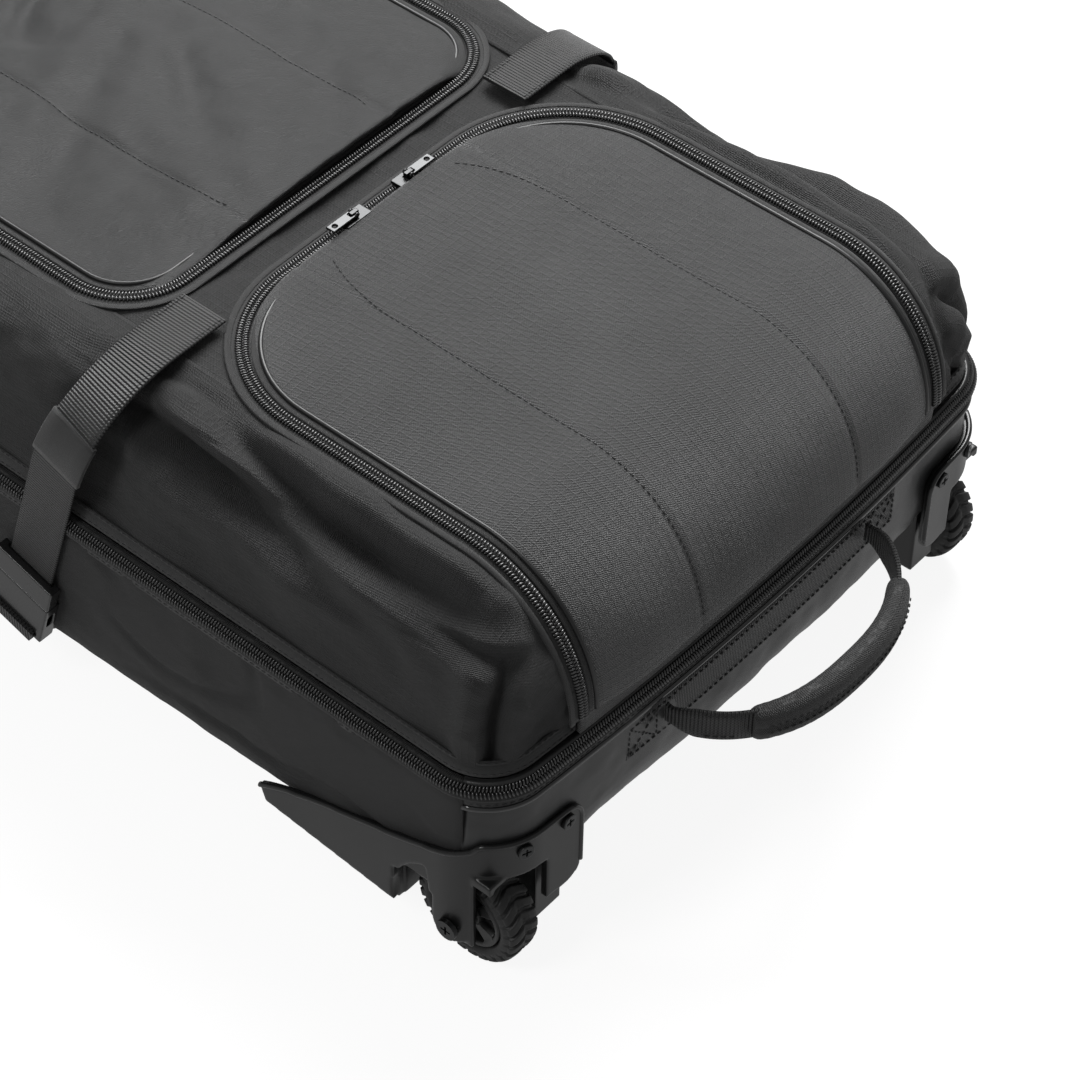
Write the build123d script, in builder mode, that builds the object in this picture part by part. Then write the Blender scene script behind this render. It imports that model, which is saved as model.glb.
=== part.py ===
from build123d import *
import math
import os

# Wheeled snowboard travel bag. Millimetres, +Z up, +Y towards the head end, wheels at -Y.
# The origin is on the floor, under the middle of the bag.

# ---------------------------------------------------------------- driving dimensions
body_length = 1620.0  # over the fabric end walls at the zip
body_width = 456.0  # over the fabric side walls
zip_height = 157.0  # middle of the perimeter zip chain
lid_top = 262.0
wall = 5.0  # padded fabric: cover, foam and lining
webbing_width = 34.0
wheel_radius = 37.0
wheel_width = 24.0

# ---------------------------------------------------------------- body shape
half_width = body_width / 2
wheel_end = -body_length / 2
head_end = body_length / 2
end_bow = 10.0  # how far the wheel end bulges out in plan
corner_radius = 38.0
belly_rise = 38.0  # underside above the floor at the wheel end
belly_down = 450.0  # from here to the head end the belly lies on the floor
toe_radius = 60.0  # wheel end, wall to underside
heel_radius = 45.0  # head end, wall to underside
belly_edge_radius = 30.0
nose_radius = 84.0  # lid, wheel end to top
crown_radius = 58.0  # lid, head end to top
shoulder_radius = 62.0  # lid, side to top

# ---------------------------------------------------------------- zips
chain_width = 7.0
chain_proud = 2.5
tape_thickness = 1.0
tape_reach = 9.0  # tape edge from the middle of the chain
flap_tape = 12.0
slit = 1.0  # gap between a flap and what it opens from
seam_height = zip_height + 5.5  # the lid parts from the tray here
zip_end = head_end - 70.0
chain_top = tape_thickness + chain_proud

# ---------------------------------------------------------------- flaps in the lid
flap_half_width = 160.0  # middle of the chain on either side
pocket_head = wheel_end + 290.0
pocket_corner = 85.0
pocket_hinge_height = seam_height + 15.0
main_front = wheel_end + 328.0
main_corner = 45.0
main_hinge = head_end - 110.0
fixed_edge = -4.5  # lid fabric starts here, counted outward from the chain
flap_edge = fixed_edge - slit

# ---------------------------------------------------------------- wheels and housings
wheel_y = wheel_end + 26.0
wheel_x = half_width - 20.0
hub_radius = 24.0
bush_radius = 7.0
axle_radius = 4.0
running_gap = 0.05
housing_skin = 5.0
housing_top = 114.0
housing_inner = half_width - 66.0
well_inner = half_width - 39.0
well_outer = half_width - 4.0
well_top = 83.0
well_back = wheel_y + 41.0
housing_wall = 5.0
screw_height = 106.0
screw_head_radius = 5.0
screw_radius = 2.2

# ---------------------------------------------------------------- straps and buckles
strap_lean = 17.4  # degrees from upright, seen from the side
strap_top_y = wheel_end + 302.0
strap_spacing = 1010.0  # front pair to rear pair
strap_lift = 4.5  # gap under the webbing, over the zip
webbing_thickness = 2.0
buckle_height = 86.0  # mouth of the socket above the floor
buckle_width = 46.0
buckle_thickness = 11.0
buckle_lift = 6.5  # middle of the buckle off the side wall

# ---------------------------------------------------------------- handles
handle_height = 128.0
handle_reach = 56.0
handle_half_span = 92.0
handle_webbing = 22.0
grip_half_length = 68.0

big = 3 * body_width  # reaches past the bag in every direction across it

os.makedirs("parts", exist_ok=True)


def save(part, name):
    part.label = name
    export_step(part, f"parts/{name}.step")


# ================================================================ body blocks
def plan_outline(inset):
    """The bag seen from above: straight sides, and a wheel end that bows out."""
    x = half_width - inset
    near = wheel_end + inset
    far = head_end - inset
    with BuildSketch() as plan:
        with BuildLine():
            Polyline((x, near), (x, far), (-x, far), (-x, near))
            ThreePointArc((-x, near), (0, near - end_bow), (x, near))
        make_face()
        fillet(plan.vertices(), corner_radius - inset)
    return plan.sketch


def tray_block(inset):
    """The lower tray as one solid up to the seam, with every face moved in by inset."""
    plan = plan_outline(inset)
    near = wheel_end - end_bow + inset
    far = head_end - inset
    with BuildPart() as block:
        with BuildSketch(Plane.YZ) as side:
            with BuildLine():
                Polyline(
                    (near, belly_rise + inset),
                    (belly_down, inset),
                    (far, inset),
                    (far, seam_height),
                    (near, seam_height),
                    close=True,
                )
            make_face()
            toe = side.vertices().group_by(Axis.X)[0].sort_by(Axis.Y)[0]
            fillet(toe, toe_radius - inset)
            heel = side.vertices().group_by(Axis.X)[-1].sort_by(Axis.Y)[0]
            fillet(heel, heel_radius - inset)
        extrude(amount=half_width - inset, both=True)
        rim = block.faces().filter_by(Axis.X).edges()
        low_edges = rim.filter_by(lambda e: (e @ 0.5).Z < seam_height - 1 and not is_upright(e))
        fillet(low_edges, belly_edge_radius - inset)
        with BuildSketch(Plane.XY.offset(-1)):
            add(plan)
        extrude(amount=seam_height + 1, mode=Mode.INTERSECT)
    return block.part


def is_upright(edge):
    return abs((edge @ 1).Y - (edge @ 0).Y) < 0.01


def lid_block(inset):
    """The lid as one solid above the seam, with every face but the seam moved in by inset."""
    plan = plan_outline(inset)
    near = wheel_end - end_bow + inset
    far = head_end - inset
    top = lid_top - inset
    with BuildPart() as block:
        with BuildSketch(Plane.YZ) as side:
            with BuildLine():
                Polyline((near, seam_height), (far, seam_height), (far, top), (near, top), close=True)
            make_face()
            nose = side.vertices().group_by(Axis.X)[0].sort_by(Axis.Y)[-1]
            fillet(nose, nose_radius - inset)
            crown = side.vertices().group_by(Axis.X)[-1].sort_by(Axis.Y)[-1]
            fillet(crown, crown_radius - inset)
        extrude(amount=half_width - inset, both=True)
        with BuildSketch(Plane.XZ) as section:
            with Locations((0, (seam_height - 1 + top) / 2)):
                Rectangle(2 * (half_width - inset), top - seam_height + 1)
            fillet(section.vertices().group_by(Axis.Y)[-1], shoulder_radius - inset)
        extrude(amount=body_length, both=True, mode=Mode.INTERSECT)
        with BuildSketch(Plane.XY.offset(seam_height - 1)):
            add(plan)
        extrude(amount=lid_top, mode=Mode.INTERSECT)
    return block.part


tray_blocks = {}
lid_blocks = {}


def tray_to(height):
    """The tray as one solid out to a height off its outside face (negative is inside)."""
    if height not in tray_blocks:
        tray_blocks[height] = tray_block(-height)
    return tray_blocks[height]


def lid_to(height):
    """The lid as one solid out to a height off its outside face (negative is inside)."""
    if height not in lid_blocks:
        lid_blocks[height] = lid_block(-height)
    return lid_blocks[height]


def tray_layer(inner, outer):
    """The tray's surface layer between two heights off its outside face."""
    with BuildPart() as layer:
        add(tray_to(outer))
        add(tray_to(inner), mode=Mode.SUBTRACT)
    return layer.part


def lid_layer(inner, outer):
    """The lid's surface layer between two heights off its outside face."""
    with BuildPart() as layer:
        add(lid_to(outer))
        add(lid_to(inner), mode=Mode.SUBTRACT)
    return layer.part


def keep_box(x0, x1, y0, y1, z0, z1, mode=Mode.INTERSECT):
    """Keeps (or cuts away) what lies in a box, given by its limits."""
    with Locations(((x0 + x1) / 2, (y0 + y1) / 2, (z0 + z1) / 2)):
        Box(x1 - x0, y1 - y0, z1 - z0, mode=mode)


# ================================================================ wheel housings
def housing_side_profile():
    """Side of a housing: lip, tapering fin, foot, wheel arch and fork leg."""
    fin_tail = wheel_end + 172.0
    foot_y = wheel_y + 42.0
    arch_y = wheel_y + 18.0
    arch_z = wheel_radius + 40.0
    leg = 13.0
    front = wheel_end - 40.0
    with BuildSketch() as profile:
        with BuildLine():
            Line((front, housing_top), (wheel_end + 6, housing_top))
            Spline(
                (wheel_end + 6, housing_top),
                (wheel_end + 46, housing_top - 20),
                (wheel_end + 112, housing_top - 42),
                (fin_tail, 46),
            )
            Line((fin_tail, 46), (fin_tail - 4, 34))
            Line((fin_tail - 4, 34), (foot_y, 26))
            ThreePointArc((foot_y, 26), (wheel_y + 36, wheel_radius + 24), (arch_y, arch_z))
            Line((arch_y, arch_z), (wheel_y + leg, wheel_radius))
            ThreePointArc(
                (wheel_y + leg, wheel_radius), (wheel_y, wheel_radius - leg), (wheel_y - leg, wheel_radius)
            )
            Line((wheel_y - leg, wheel_radius), (wheel_y - leg - 6, well_top + 2))
            Line((wheel_y - leg - 6, well_top + 2), (front, well_top + 2))
            Line((front, well_top + 2), (front, housing_top))
        make_face()
    return profile.sketch


def end_plate_profile():
    """End plate of a housing, seen along Y: rounded inner corners, cut away over the wheel."""
    low = 50.0
    with BuildSketch() as profile:
        with BuildLine():
            Polyline(
                (housing_inner, low),
                (well_inner, low),
                (well_inner, well_top + 2),
                (half_width + 20, well_top + 2),
                (half_width + 20, housing_top),
                (housing_inner, housing_top),
                close=True,
            )
        make_face()
        inner = profile.vertices().group_by(Axis.X)[0]
        fillet(inner, 12)
    return profile.sketch


def screw_plane(x):
    """Where a housing screw sits: on the outer face of the end plate, facing out."""
    corner_x = half_width - corner_radius
    bow_radius = (half_width**2 + end_bow**2) / (2 * end_bow)
    bow_centre = wheel_end - end_bow + bow_radius
    corner_y = bow_centre - math.sqrt((bow_radius - corner_radius) ** 2 - corner_x**2)
    if x > corner_x:
        turn = math.asin((x - corner_x) / (corner_radius + housing_skin))
        reach = corner_radius + housing_skin
        y = corner_y - reach * math.cos(turn)
    else:
        turn = 0.0
        y = bow_centre - math.sqrt((bow_radius + housing_skin) ** 2 - x**2)
    outward = (math.sin(turn), -math.cos(turn), 0)
    return Plane(origin=(x, y, screw_height), x_dir=(math.cos(turn), math.sin(turn), 0), z_dir=outward)


def mirrored(plane):
    """The same place on the left of the bag."""
    origin, across, out = plane.origin, plane.x_dir, plane.z_dir
    return Plane(
        origin=(-origin.X, origin.Y, origin.Z),
        x_dir=(across.X, -across.Y, -across.Z),
        z_dir=(-out.X, out.Y, out.Z),
    )


screw_planes = [screw_plane(half_width - 54.0), screw_plane(half_width - 23.0)]
wall_layer = tray_layer(-wall, 0)
inner_layer = tray_layer(-wall - 3, -wall)
side_profile = housing_side_profile()
plate_profile = end_plate_profile()

with BuildPart() as side_slab:
    with BuildSketch(Plane.YZ.offset(well_inner)):
        add(side_profile)
    extrude(amount=half_width)

with BuildPart() as plate_slab:
    with BuildSketch(Plane.XZ.offset(-wheel_end - 40)):
        add(plate_profile)
    extrude(amount=80)

with BuildPart() as skin_prism:
    with BuildSketch(Plane.XY.offset(wheel_radius - 20)) as ring:
        add(plan_outline(-housing_skin))
        add(plan_outline(0), mode=Mode.SUBTRACT)
    extrude(amount=housing_top)

with BuildPart() as side_skin:
    add(skin_prism.part)
    add(side_slab.part, mode=Mode.INTERSECT)

with BuildPart() as plate_skin:
    add(skin_prism.part)
    add(plate_slab.part, mode=Mode.INTERSECT)

with BuildPart() as fork_leg:
    add(side_slab.part)
    keep_box(well_outer, half_width, wheel_end, wheel_y + 24, 0, well_top + 4)

with BuildPart() as housing:
    add(side_skin.part)
    add(plate_skin.part)
    add(fork_leg.part)
    top = well_top + housing_wall
    keep_box(housing_inner + 5, half_width, wheel_end, well_back + housing_wall, 24, top, mode=Mode.ADD)
    keep_box(well_inner, well_outer, wheel_end - 60, well_back, 0, well_top, mode=Mode.SUBTRACT)
    window = (well_outer - 1, half_width + 30)  # opens the well's outer side, behind and before the fork leg
    keep_box(*window, wheel_y + 13, well_back + 1, 0, wheel_radius + 20, mode=Mode.SUBTRACT)
    keep_box(*window, wheel_end - 60, wheel_y - 13, 0, well_top - 2, mode=Mode.SUBTRACT)
    pocket_x = housing_inner + 10
    keep_box(pocket_x, well_inner - 5, wheel_end + 5, well_back, 0, well_top, mode=Mode.SUBTRACT)
    with Locations(Plane(origin=(half_width, wheel_y, wheel_radius), z_dir=(1, 0, 0))):
        Cylinder(axle_radius, 200, mode=Mode.SUBTRACT)
    with Locations(*screw_planes):
        Cylinder(screw_radius, 60, mode=Mode.SUBTRACT)
        Cylinder(screw_head_radius, 6, align=(Align.CENTER, Align.CENTER, Align.MIN), mode=Mode.SUBTRACT)

housing_right = housing.part.solids().sort_by(SortBy.VOLUME)[-1]
housing_box = (
    housing_inner + 5, half_width + 30,
    wheel_end - 60, well_back + housing_wall,
    0, well_top + housing_wall,
)

with BuildPart() as wheel_housing_right:
    add(housing_right)

with BuildPart() as wheel_housing_left:
    add(wheel_housing_right.part)
    mirror(about=Plane.YZ, mode=Mode.REPLACE)

save(wheel_housing_right.part, "wheel_housing_right")
save(wheel_housing_left.part, "wheel_housing_left")


def cut_housings():
    """Takes both wheel housings' corners out of the fabric part being built."""
    x0, x1, y0, y1, z0, z1 = housing_box
    keep_box(x0, x1, y0, y1, z0, z1, mode=Mode.SUBTRACT)
    keep_box(-x1, -x0, y0, y1, z0, z1, mode=Mode.SUBTRACT)


# ================================================================ tray: sewn panels
end_seam = wheel_end + 20.0
side_seam = half_width - belly_edge_radius - 2
head_seam = head_end - 40.0
all_screw_planes = screw_planes + [mirrored(plane) for plane in screw_planes]
beyond = 60.0  # how far a cutting box reaches past the bag

with BuildPart() as wheel_end_panel:
    add(wall_layer)
    keep_box(-half_width, half_width, wheel_end - beyond, end_seam, 0, seam_height)
    cut_housings()
    with Locations(*all_screw_planes):
        Cylinder(screw_radius, 60, mode=Mode.SUBTRACT)

with BuildPart() as side_panel_right:
    add(wall_layer)
    keep_box(side_seam, half_width, end_seam, head_end, 0, seam_height)
    cut_housings()

with BuildPart() as side_panel_left:
    add(side_panel_right.part)
    mirror(about=Plane.YZ, mode=Mode.REPLACE)

with BuildPart() as head_end_panel:
    add(wall_layer)
    keep_box(-side_seam, side_seam, head_seam, head_end, 0, seam_height)

with BuildPart() as bottom_panel:
    add(wall_layer)
    keep_box(-side_seam, side_seam, end_seam, head_seam, 0, seam_height)
    cut_housings()

save(wheel_end_panel.part, "wheel_end_panel")
save(side_panel_right.part, "side_panel_right")
save(side_panel_left.part, "side_panel_left")
save(head_end_panel.part, "head_end_panel")
save(bottom_panel.part, "bottom_panel")

# ---------------------------------------------------------------- inside the tray
board_half_width = 180.0
board_thickness = 3.0
board_start = well_back + 30

with BuildPart() as floor_board:
    add(inner_layer)
    keep_box(-board_half_width, board_half_width, board_start, head_seam - 10, 0, 50)

with BuildPart() as tie_down_straps:
    add(tray_layer(-wall - board_thickness - webbing_thickness, -wall - board_thickness))
    with Locations((0, -300, 25), (0, 300, 25)):
        Box(2 * board_half_width - 20, webbing_width, 50, mode=Mode.INTERSECT)

with BuildPart() as backing_plates:
    add(inner_layer)
    with Locations((half_width - 40, wheel_end, screw_height), (40 - half_width, wheel_end, screw_height)):
        Box(50, 60, 24, mode=Mode.INTERSECT)
    with Locations(*all_screw_planes):
        Cylinder(screw_radius, 60, mode=Mode.SUBTRACT)

save(floor_board.part, "floor_board")
save(tie_down_straps.part, "tie_down_straps")
save(backing_plates.part, "housing_backing_plates")

with BuildPart() as housing_screws:
    shank = housing_skin + wall + 4
    with Locations(*all_screw_planes):
        Cylinder(screw_head_radius, 2.5, align=(Align.CENTER, Align.CENTER, Align.MIN))
        Cylinder(screw_radius, shank, align=(Align.CENTER, Align.CENTER, Align.MAX))
    with Locations(*[p.offset(2.5) for p in all_screw_planes]):
        Box(6, 1.2, 3, mode=Mode.SUBTRACT)
        Box(1.2, 6, 3, mode=Mode.SUBTRACT)

save(housing_screws.part, "housing_screws")


# ================================================================ perimeter zip, piping, patch
with BuildPart() as perimeter_chain:
    low = zip_height - chain_width / 2
    add(tray_layer(tape_thickness, chain_top))
    keep_box(-big, big, -body_length, zip_end, low, low + chain_width)

with BuildPart() as perimeter_zip_tray_side:
    add(tray_layer(0, tape_thickness))
    keep_box(-big, big, -body_length, zip_end, zip_height - tape_reach, seam_height - slit / 2)
    add(perimeter_chain.part)

with BuildPart() as perimeter_zip_lid_side:
    add(lid_layer(0, tape_thickness))
    keep_box(-big, big, -body_length, zip_end, seam_height, seam_height + flap_tape)

piping_thickness = 3.0
piping_top = zip_height - tape_reach - 0.5
with BuildPart() as end_piping:
    add(tray_layer(0, piping_thickness))
    keep_box(-big, big, -body_length, end_seam, piping_top - piping_thickness, piping_top)

patch_half_width = 125.0
patch_half_height = 19.0
patch_thickness = 1.5
with BuildPart() as handle_patch:
    add(tray_layer(0, patch_thickness))
    keep_box(
        -patch_half_width, patch_half_width, -body_length, end_seam,
        handle_height - patch_half_height, handle_height + patch_half_height - 8,
    )

save(perimeter_zip_tray_side.part, "perimeter_zip_tray_side")
save(perimeter_zip_lid_side.part, "perimeter_zip_lid_side")
save(end_piping.part, "end_piping")
save(handle_patch.part, "handle_patch")

# ================================================================ wheels
wheel_centre = Plane(origin=(wheel_x, wheel_y, wheel_radius), z_dir=(1, 0, 0))
spoke_count = 6

with BuildPart(wheel_centre) as wheel_tyre_right:
    Cylinder(wheel_radius, wheel_width)
    fillet(wheel_tyre_right.edges().filter_by(GeomType.CIRCLE), 7)
    Cylinder(hub_radius, wheel_width, mode=Mode.SUBTRACT)

with BuildPart(wheel_centre) as wheel_hub_right:
    Cylinder(hub_radius, wheel_width - 4)
    Cylinder(hub_radius - 4, wheel_width, mode=Mode.SUBTRACT)
    Cylinder(hub_radius - 3, 6)
    with PolarLocations((hub_radius + bush_radius) / 2, spoke_count):
        Cylinder(4.2, wheel_width, mode=Mode.SUBTRACT)
    Cylinder(bush_radius + 3, wheel_width - 2)
    Cylinder(bush_radius, wheel_width, mode=Mode.SUBTRACT)

with BuildPart(wheel_centre) as wheel_bush_right:
    Cylinder(bush_radius, wheel_width)
    Cylinder(axle_radius + running_gap, wheel_width, mode=Mode.SUBTRACT)

for right, name in (
    (wheel_tyre_right, "wheel_tyre"),
    (wheel_hub_right, "wheel_hub"),
    (wheel_bush_right, "wheel_bush"),
):
    with BuildPart() as left:
        add(right.part)
        mirror(about=Plane.YZ, mode=Mode.REPLACE)
    save(right.part, f"{name}_right")
    save(left.part, f"{name}_left")

axle_head = 3.0
axle_outer = Plane(origin=(half_width + housing_skin, wheel_y, wheel_radius), z_dir=(1, 0, 0))
axle_inner = Plane(origin=(well_inner - 5, wheel_y, wheel_radius), z_dir=(-1, 0, 0))
axle_length = half_width + housing_skin - (well_inner - 5) + 6
with BuildPart() as wheel_axles:
    with Locations(axle_outer, mirrored(axle_outer)):
        Cylinder(axle_radius + 3, axle_head, align=(Align.CENTER, Align.CENTER, Align.MIN))
        Cylinder(axle_radius, axle_length, align=(Align.CENTER, Align.CENTER, Align.MAX))
    with Locations(axle_outer.offset(axle_head), mirrored(axle_outer.offset(axle_head))):
        Box(7, 1.4, 3, mode=Mode.SUBTRACT)
        Box(1.4, 7, 3, mode=Mode.SUBTRACT)

with BuildPart() as axle_nuts:
    for plane in (axle_inner, mirrored(axle_inner)):
        with BuildSketch(plane):
            RegularPolygon(6.5, 6)
            Circle(axle_radius, mode=Mode.SUBTRACT)
        extrude(amount=4.5)

save(wheel_axles.part, "wheel_axles")
save(axle_nuts.part, "axle_nuts")

# ================================================================ carry handles
grip_half_height = handle_webbing / 2
grip_thickness = 15.0
loop_thickness = 3.0
root_gap = 3.5


def handle_path(face_y):
    """Plan line of a handle whose ends meet the end face at face_y, bowing out to -Y."""
    span = handle_half_span
    with BuildLine() as line:
        Spline(
            (-span, face_y),
            (-span + 16, face_y - 0.55 * handle_reach),
            (0, face_y - handle_reach),
            (span - 16, face_y - 0.55 * handle_reach),
            (span, face_y),
            tangents=[(0.05, -1), (0.05, 1)],
        )
    return line.line


def handle_block(face_y, thickness, half_height):
    """Band of a given thickness along the handle's line, standing handle_webbing high."""
    with BuildPart() as band:
        with BuildSketch(Plane.XY.offset(handle_height - half_height)):
            with BuildLine():
                add(handle_path(face_y))
            trace(line_width=thickness)
        extrude(amount=2 * half_height)
    return band.part


wheel_end_face = wheel_end - end_bow - patch_thickness - root_gap
loop_band = handle_block(wheel_end_face, loop_thickness, grip_half_height)
grip_band = handle_block(wheel_end_face, grip_thickness, grip_half_height + 2.5)

with BuildPart() as end_handle_loop:
    add(loop_band)
    root = wheel_end_face
    with BuildSketch(Plane.YZ) as taper:
        with BuildLine():
            Polyline(
                (root, handle_height - 2.5),
                (root, handle_height + 2.5),
                (root - 18, handle_height + grip_half_height),
                (root - 100, handle_height + grip_half_height),
                (root - 100, handle_height - grip_half_height),
                (root - 18, handle_height - grip_half_height),
                close=True,
            )
        make_face()
    extrude(amount=half_width, both=True, mode=Mode.INTERSECT)

with BuildPart() as end_handle_grip:
    add(grip_band)
    keep_box(-grip_half_length, grip_half_length, root - 150, root, 0, seam_height)
    edges = end_handle_grip.edges().group_by(Axis.Z)
    fillet(edges[0].filter_by(lambda e: e.length > grip_thickness + 1), 5)
    edges = end_handle_grip.edges().group_by(Axis.Z)
    fillet(edges[-1].filter_by(lambda e: e.length > grip_thickness + 1), 5)
    add(loop_band, mode=Mode.SUBTRACT)

save(end_handle_loop.part, "end_handle_loop")
save(end_handle_grip.part, "end_handle_grip")
for name, source in (("head_handle_loop", end_handle_loop), ("head_handle_grip", end_handle_grip)):
    with BuildPart() as turned:
        add(source.part.rotate(Axis.Z, 180).translate((0, head_end + root_gap + wheel_end_face, 0)))
    save(turned.part, name)

# ================================================================ lid: sewn panels
lid_shell = lid_layer(-wall, 0)
opening_half_width = flap_half_width + fixed_edge


def main_outline(reach, back):
    """Chain line of the main flap in plan, moved outward by reach and cut off square at back."""
    x = flap_half_width + reach
    front = main_front - reach
    with BuildSketch() as outline:
        with BuildLine():
            Polyline((-x, back), (-x, front), (x, front), (x, back), close=True)
        make_face()
        fillet(outline.vertices().group_by(Axis.Y)[0], main_corner + reach)
    return outline.sketch


def pocket_outline(reach):
    """Chain line of the pocket flap in plan, moved outward by reach, open past the wheel end."""
    x = flap_half_width + reach
    head = pocket_head + reach
    with BuildSketch() as outline:
        with BuildLine():
            Polyline((-x, -body_length), (-x, head), (x, head), (x, -body_length), close=True)
        make_face()
        fillet(outline.vertices().group_by(Axis.Y)[-1], pocket_corner + reach)
    return outline.sketch


def prism(outer, low, inner=None):
    """Upright prism from height low, over an outline less an inner one."""
    with BuildPart() as block:
        with BuildSketch(Plane.XY.offset(low)):
            add(outer)
            if inner is not None:
                add(inner, mode=Mode.SUBTRACT)
        extrude(amount=lid_top)
    return block.part


with BuildPart() as lid_side_right:
    add(lid_shell)
    keep_box(opening_half_width, big, -body_length, body_length, 0, big)

with BuildPart() as lid_side_left:
    add(lid_side_right.part)
    mirror(about=Plane.YZ, mode=Mode.REPLACE)

with BuildPart() as lid_head_panel:
    add(lid_shell)
    keep_box(-opening_half_width, opening_half_width, main_hinge, body_length, 0, big)

with BuildPart() as lid_cross_band:
    add(lid_shell)
    keep_box(-opening_half_width, opening_half_width, pocket_head - 100, main_front + 100, 0, big)
    add(prism(pocket_outline(fixed_edge), seam_height), mode=Mode.SUBTRACT)
    add(prism(main_outline(fixed_edge, main_hinge), seam_height), mode=Mode.SUBTRACT)

with BuildPart() as lid_end_strip:
    add(lid_shell)
    keep_box(-opening_half_width, opening_half_width, -body_length, 0, 0, pocket_hinge_height)

with BuildPart() as main_flap:
    add(lid_shell)
    add(prism(main_outline(flap_edge, main_hinge - slit), seam_height), mode=Mode.INTERSECT)

with BuildPart() as pocket_flap:
    add(lid_shell)
    add(prism(pocket_outline(flap_edge), pocket_hinge_height + slit), mode=Mode.INTERSECT)

save(lid_side_right.part, "lid_side_right")
save(lid_side_left.part, "lid_side_left")
save(lid_head_panel.part, "lid_head_panel")
save(lid_cross_band.part, "lid_cross_band")
save(lid_end_strip.part, "lid_end_strip")
save(main_flap.part, "main_flap")
save(pocket_flap.part, "pocket_flap")

# ---------------------------------------------------------------- inside the lid
sheet = 2.0
bulkhead_y = (pocket_head + main_front) / 2
with BuildPart() as lid_divider:
    with BuildSketch(Plane.XY.offset(seam_height + 1)):
        add(plan_outline(wall))
    extrude(amount=sheet)

with BuildPart() as pocket_bulkhead:
    add(lid_block(wall))
    keep_box(-big, big, bulkhead_y - sheet / 2, bulkhead_y + sheet / 2, seam_height + 1 + sheet, big)

save(lid_divider.part, "lid_divider")
save(pocket_bulkhead.part, "pocket_bulkhead")

# ---------------------------------------------------------------- zips round the two flaps
lid_tape = lid_layer(0, tape_thickness)
lid_chain = lid_layer(tape_thickness, chain_top)
half_chain = chain_width / 2
main_zip_back = main_hinge - 10


def main_ring(outer, inner):
    return prism(main_outline(outer, main_zip_back), seam_height, main_outline(inner, main_zip_back))


def pocket_ring(outer, inner, low):
    return prism(pocket_outline(outer), low, pocket_outline(inner))


with BuildPart() as main_chain:
    add(lid_chain)
    add(main_ring(half_chain, -half_chain), mode=Mode.INTERSECT)

with BuildPart() as main_zip_lid_side:
    add(lid_tape)
    add(main_ring(tape_reach, fixed_edge), mode=Mode.INTERSECT)
    add(main_chain.part)

with BuildPart() as main_zip_flap_side:
    add(lid_tape)
    add(main_ring(flap_edge, flap_edge - flap_tape), mode=Mode.INTERSECT)

with BuildPart() as pocket_chain:
    add(lid_chain)
    add(pocket_ring(half_chain, -half_chain, pocket_hinge_height), mode=Mode.INTERSECT)

with BuildPart() as pocket_zip_lid_side:
    add(lid_tape)
    add(pocket_ring(tape_reach, fixed_edge, pocket_hinge_height), mode=Mode.INTERSECT)
    add(pocket_chain.part)

with BuildPart() as pocket_zip_flap_side:
    add(lid_tape)
    low = pocket_hinge_height + slit
    add(pocket_ring(flap_edge, flap_edge - flap_tape, low), mode=Mode.INTERSECT)

save(main_zip_lid_side.part, "main_zip_lid_side")
save(main_zip_flap_side.part, "main_zip_flap_side")
save(pocket_zip_lid_side.part, "pocket_zip_lid_side")
save(pocket_zip_flap_side.part, "pocket_zip_flap_side")

# ================================================================ compression straps
strap_top = strap_lift + webbing_thickness
strap_end = buckle_height + 8  # the webbing stops inside the buckle's plug
foot_length = 16.0  # sewn end of a strap
keeper_skin = 1.0
keeper_height = 222.0  # middle of the elastic keeper
keeper_length = 30.0
lean = math.radians(strap_lean)
pairs = ((0.0, flap_half_width - 26), (strap_spacing, half_width - 48))  # shift along the bag, sewn end


def strap_centre(height):
    return strap_top_y + (lid_top - height) * math.tan(lean)


def strap_band(width, low, high, shift):
    """Everything across the bag behind a strap's outline, seen from the side."""
    reach = width / 2 / math.cos(lean)
    bottom = strap_centre(low) + shift
    top = strap_centre(high) + shift
    with BuildPart() as band:
        with BuildSketch(Plane.YZ):
            with BuildLine():
                Polyline(
                    (bottom - reach, low), (bottom + reach, low), (top + reach, high), (top - reach, high),
                    close=True,
                )
            make_face()
        extrude(amount=big)
    return band.part


def both_sides(right):
    """A part on the right of the bag together with its mirror image on the left."""
    with BuildPart() as pair:
        add(right)
        mirror(about=Plane.YZ)
    return pair.part


def strap_slice(solid_to, heights, width, levels, shift, start):
    """Surface layer between two heights, under one strap, from start outward on the right of the bag."""
    inner, outer = heights
    low, high = levels
    with BuildPart() as piece:
        add(solid_to(outer))
        add(strap_band(width, low, high, shift), mode=Mode.INTERSECT)
        keep_box(start, big, -body_length, body_length, 0, big)
        add(solid_to(inner), mode=Mode.SUBTRACT)
    return piece.part


def strap_pair(shift, start):
    above = (seam_height, lid_top + 20)
    below = (strap_end, seam_height)
    heights = (strap_lift, strap_top)
    with BuildPart() as foot:
        add(strap_slice(lid_to, (0, strap_top), webbing_width, above, shift, start))
        keep_box(start, start + foot_length, -body_length, body_length, seam_height, big)
    with BuildPart() as strap:
        add(strap_slice(lid_to, heights, webbing_width, above, shift, start))
        add(strap_slice(tray_to, heights, webbing_width, below, shift, start))
        add(foot.part)
    return both_sides(strap.part)


def keeper_pair(shift):
    levels = (keeper_height - keeper_length / 2, keeper_height + keeper_length / 2)
    around = (strap_lift - keeper_skin, strap_top + keeper_skin)
    with BuildPart() as keeper:
        add(strap_slice(lid_to, around, webbing_width + 2 * keeper_skin, levels, shift, 0))
        add(strap_slice(lid_to, (strap_lift, strap_top), webbing_width, levels, shift, 0), mode=Mode.SUBTRACT)
    return both_sides(keeper.part)


with BuildPart() as strap_webbing:
    for shift, start in pairs:
        add(strap_pair(shift, start))

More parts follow.
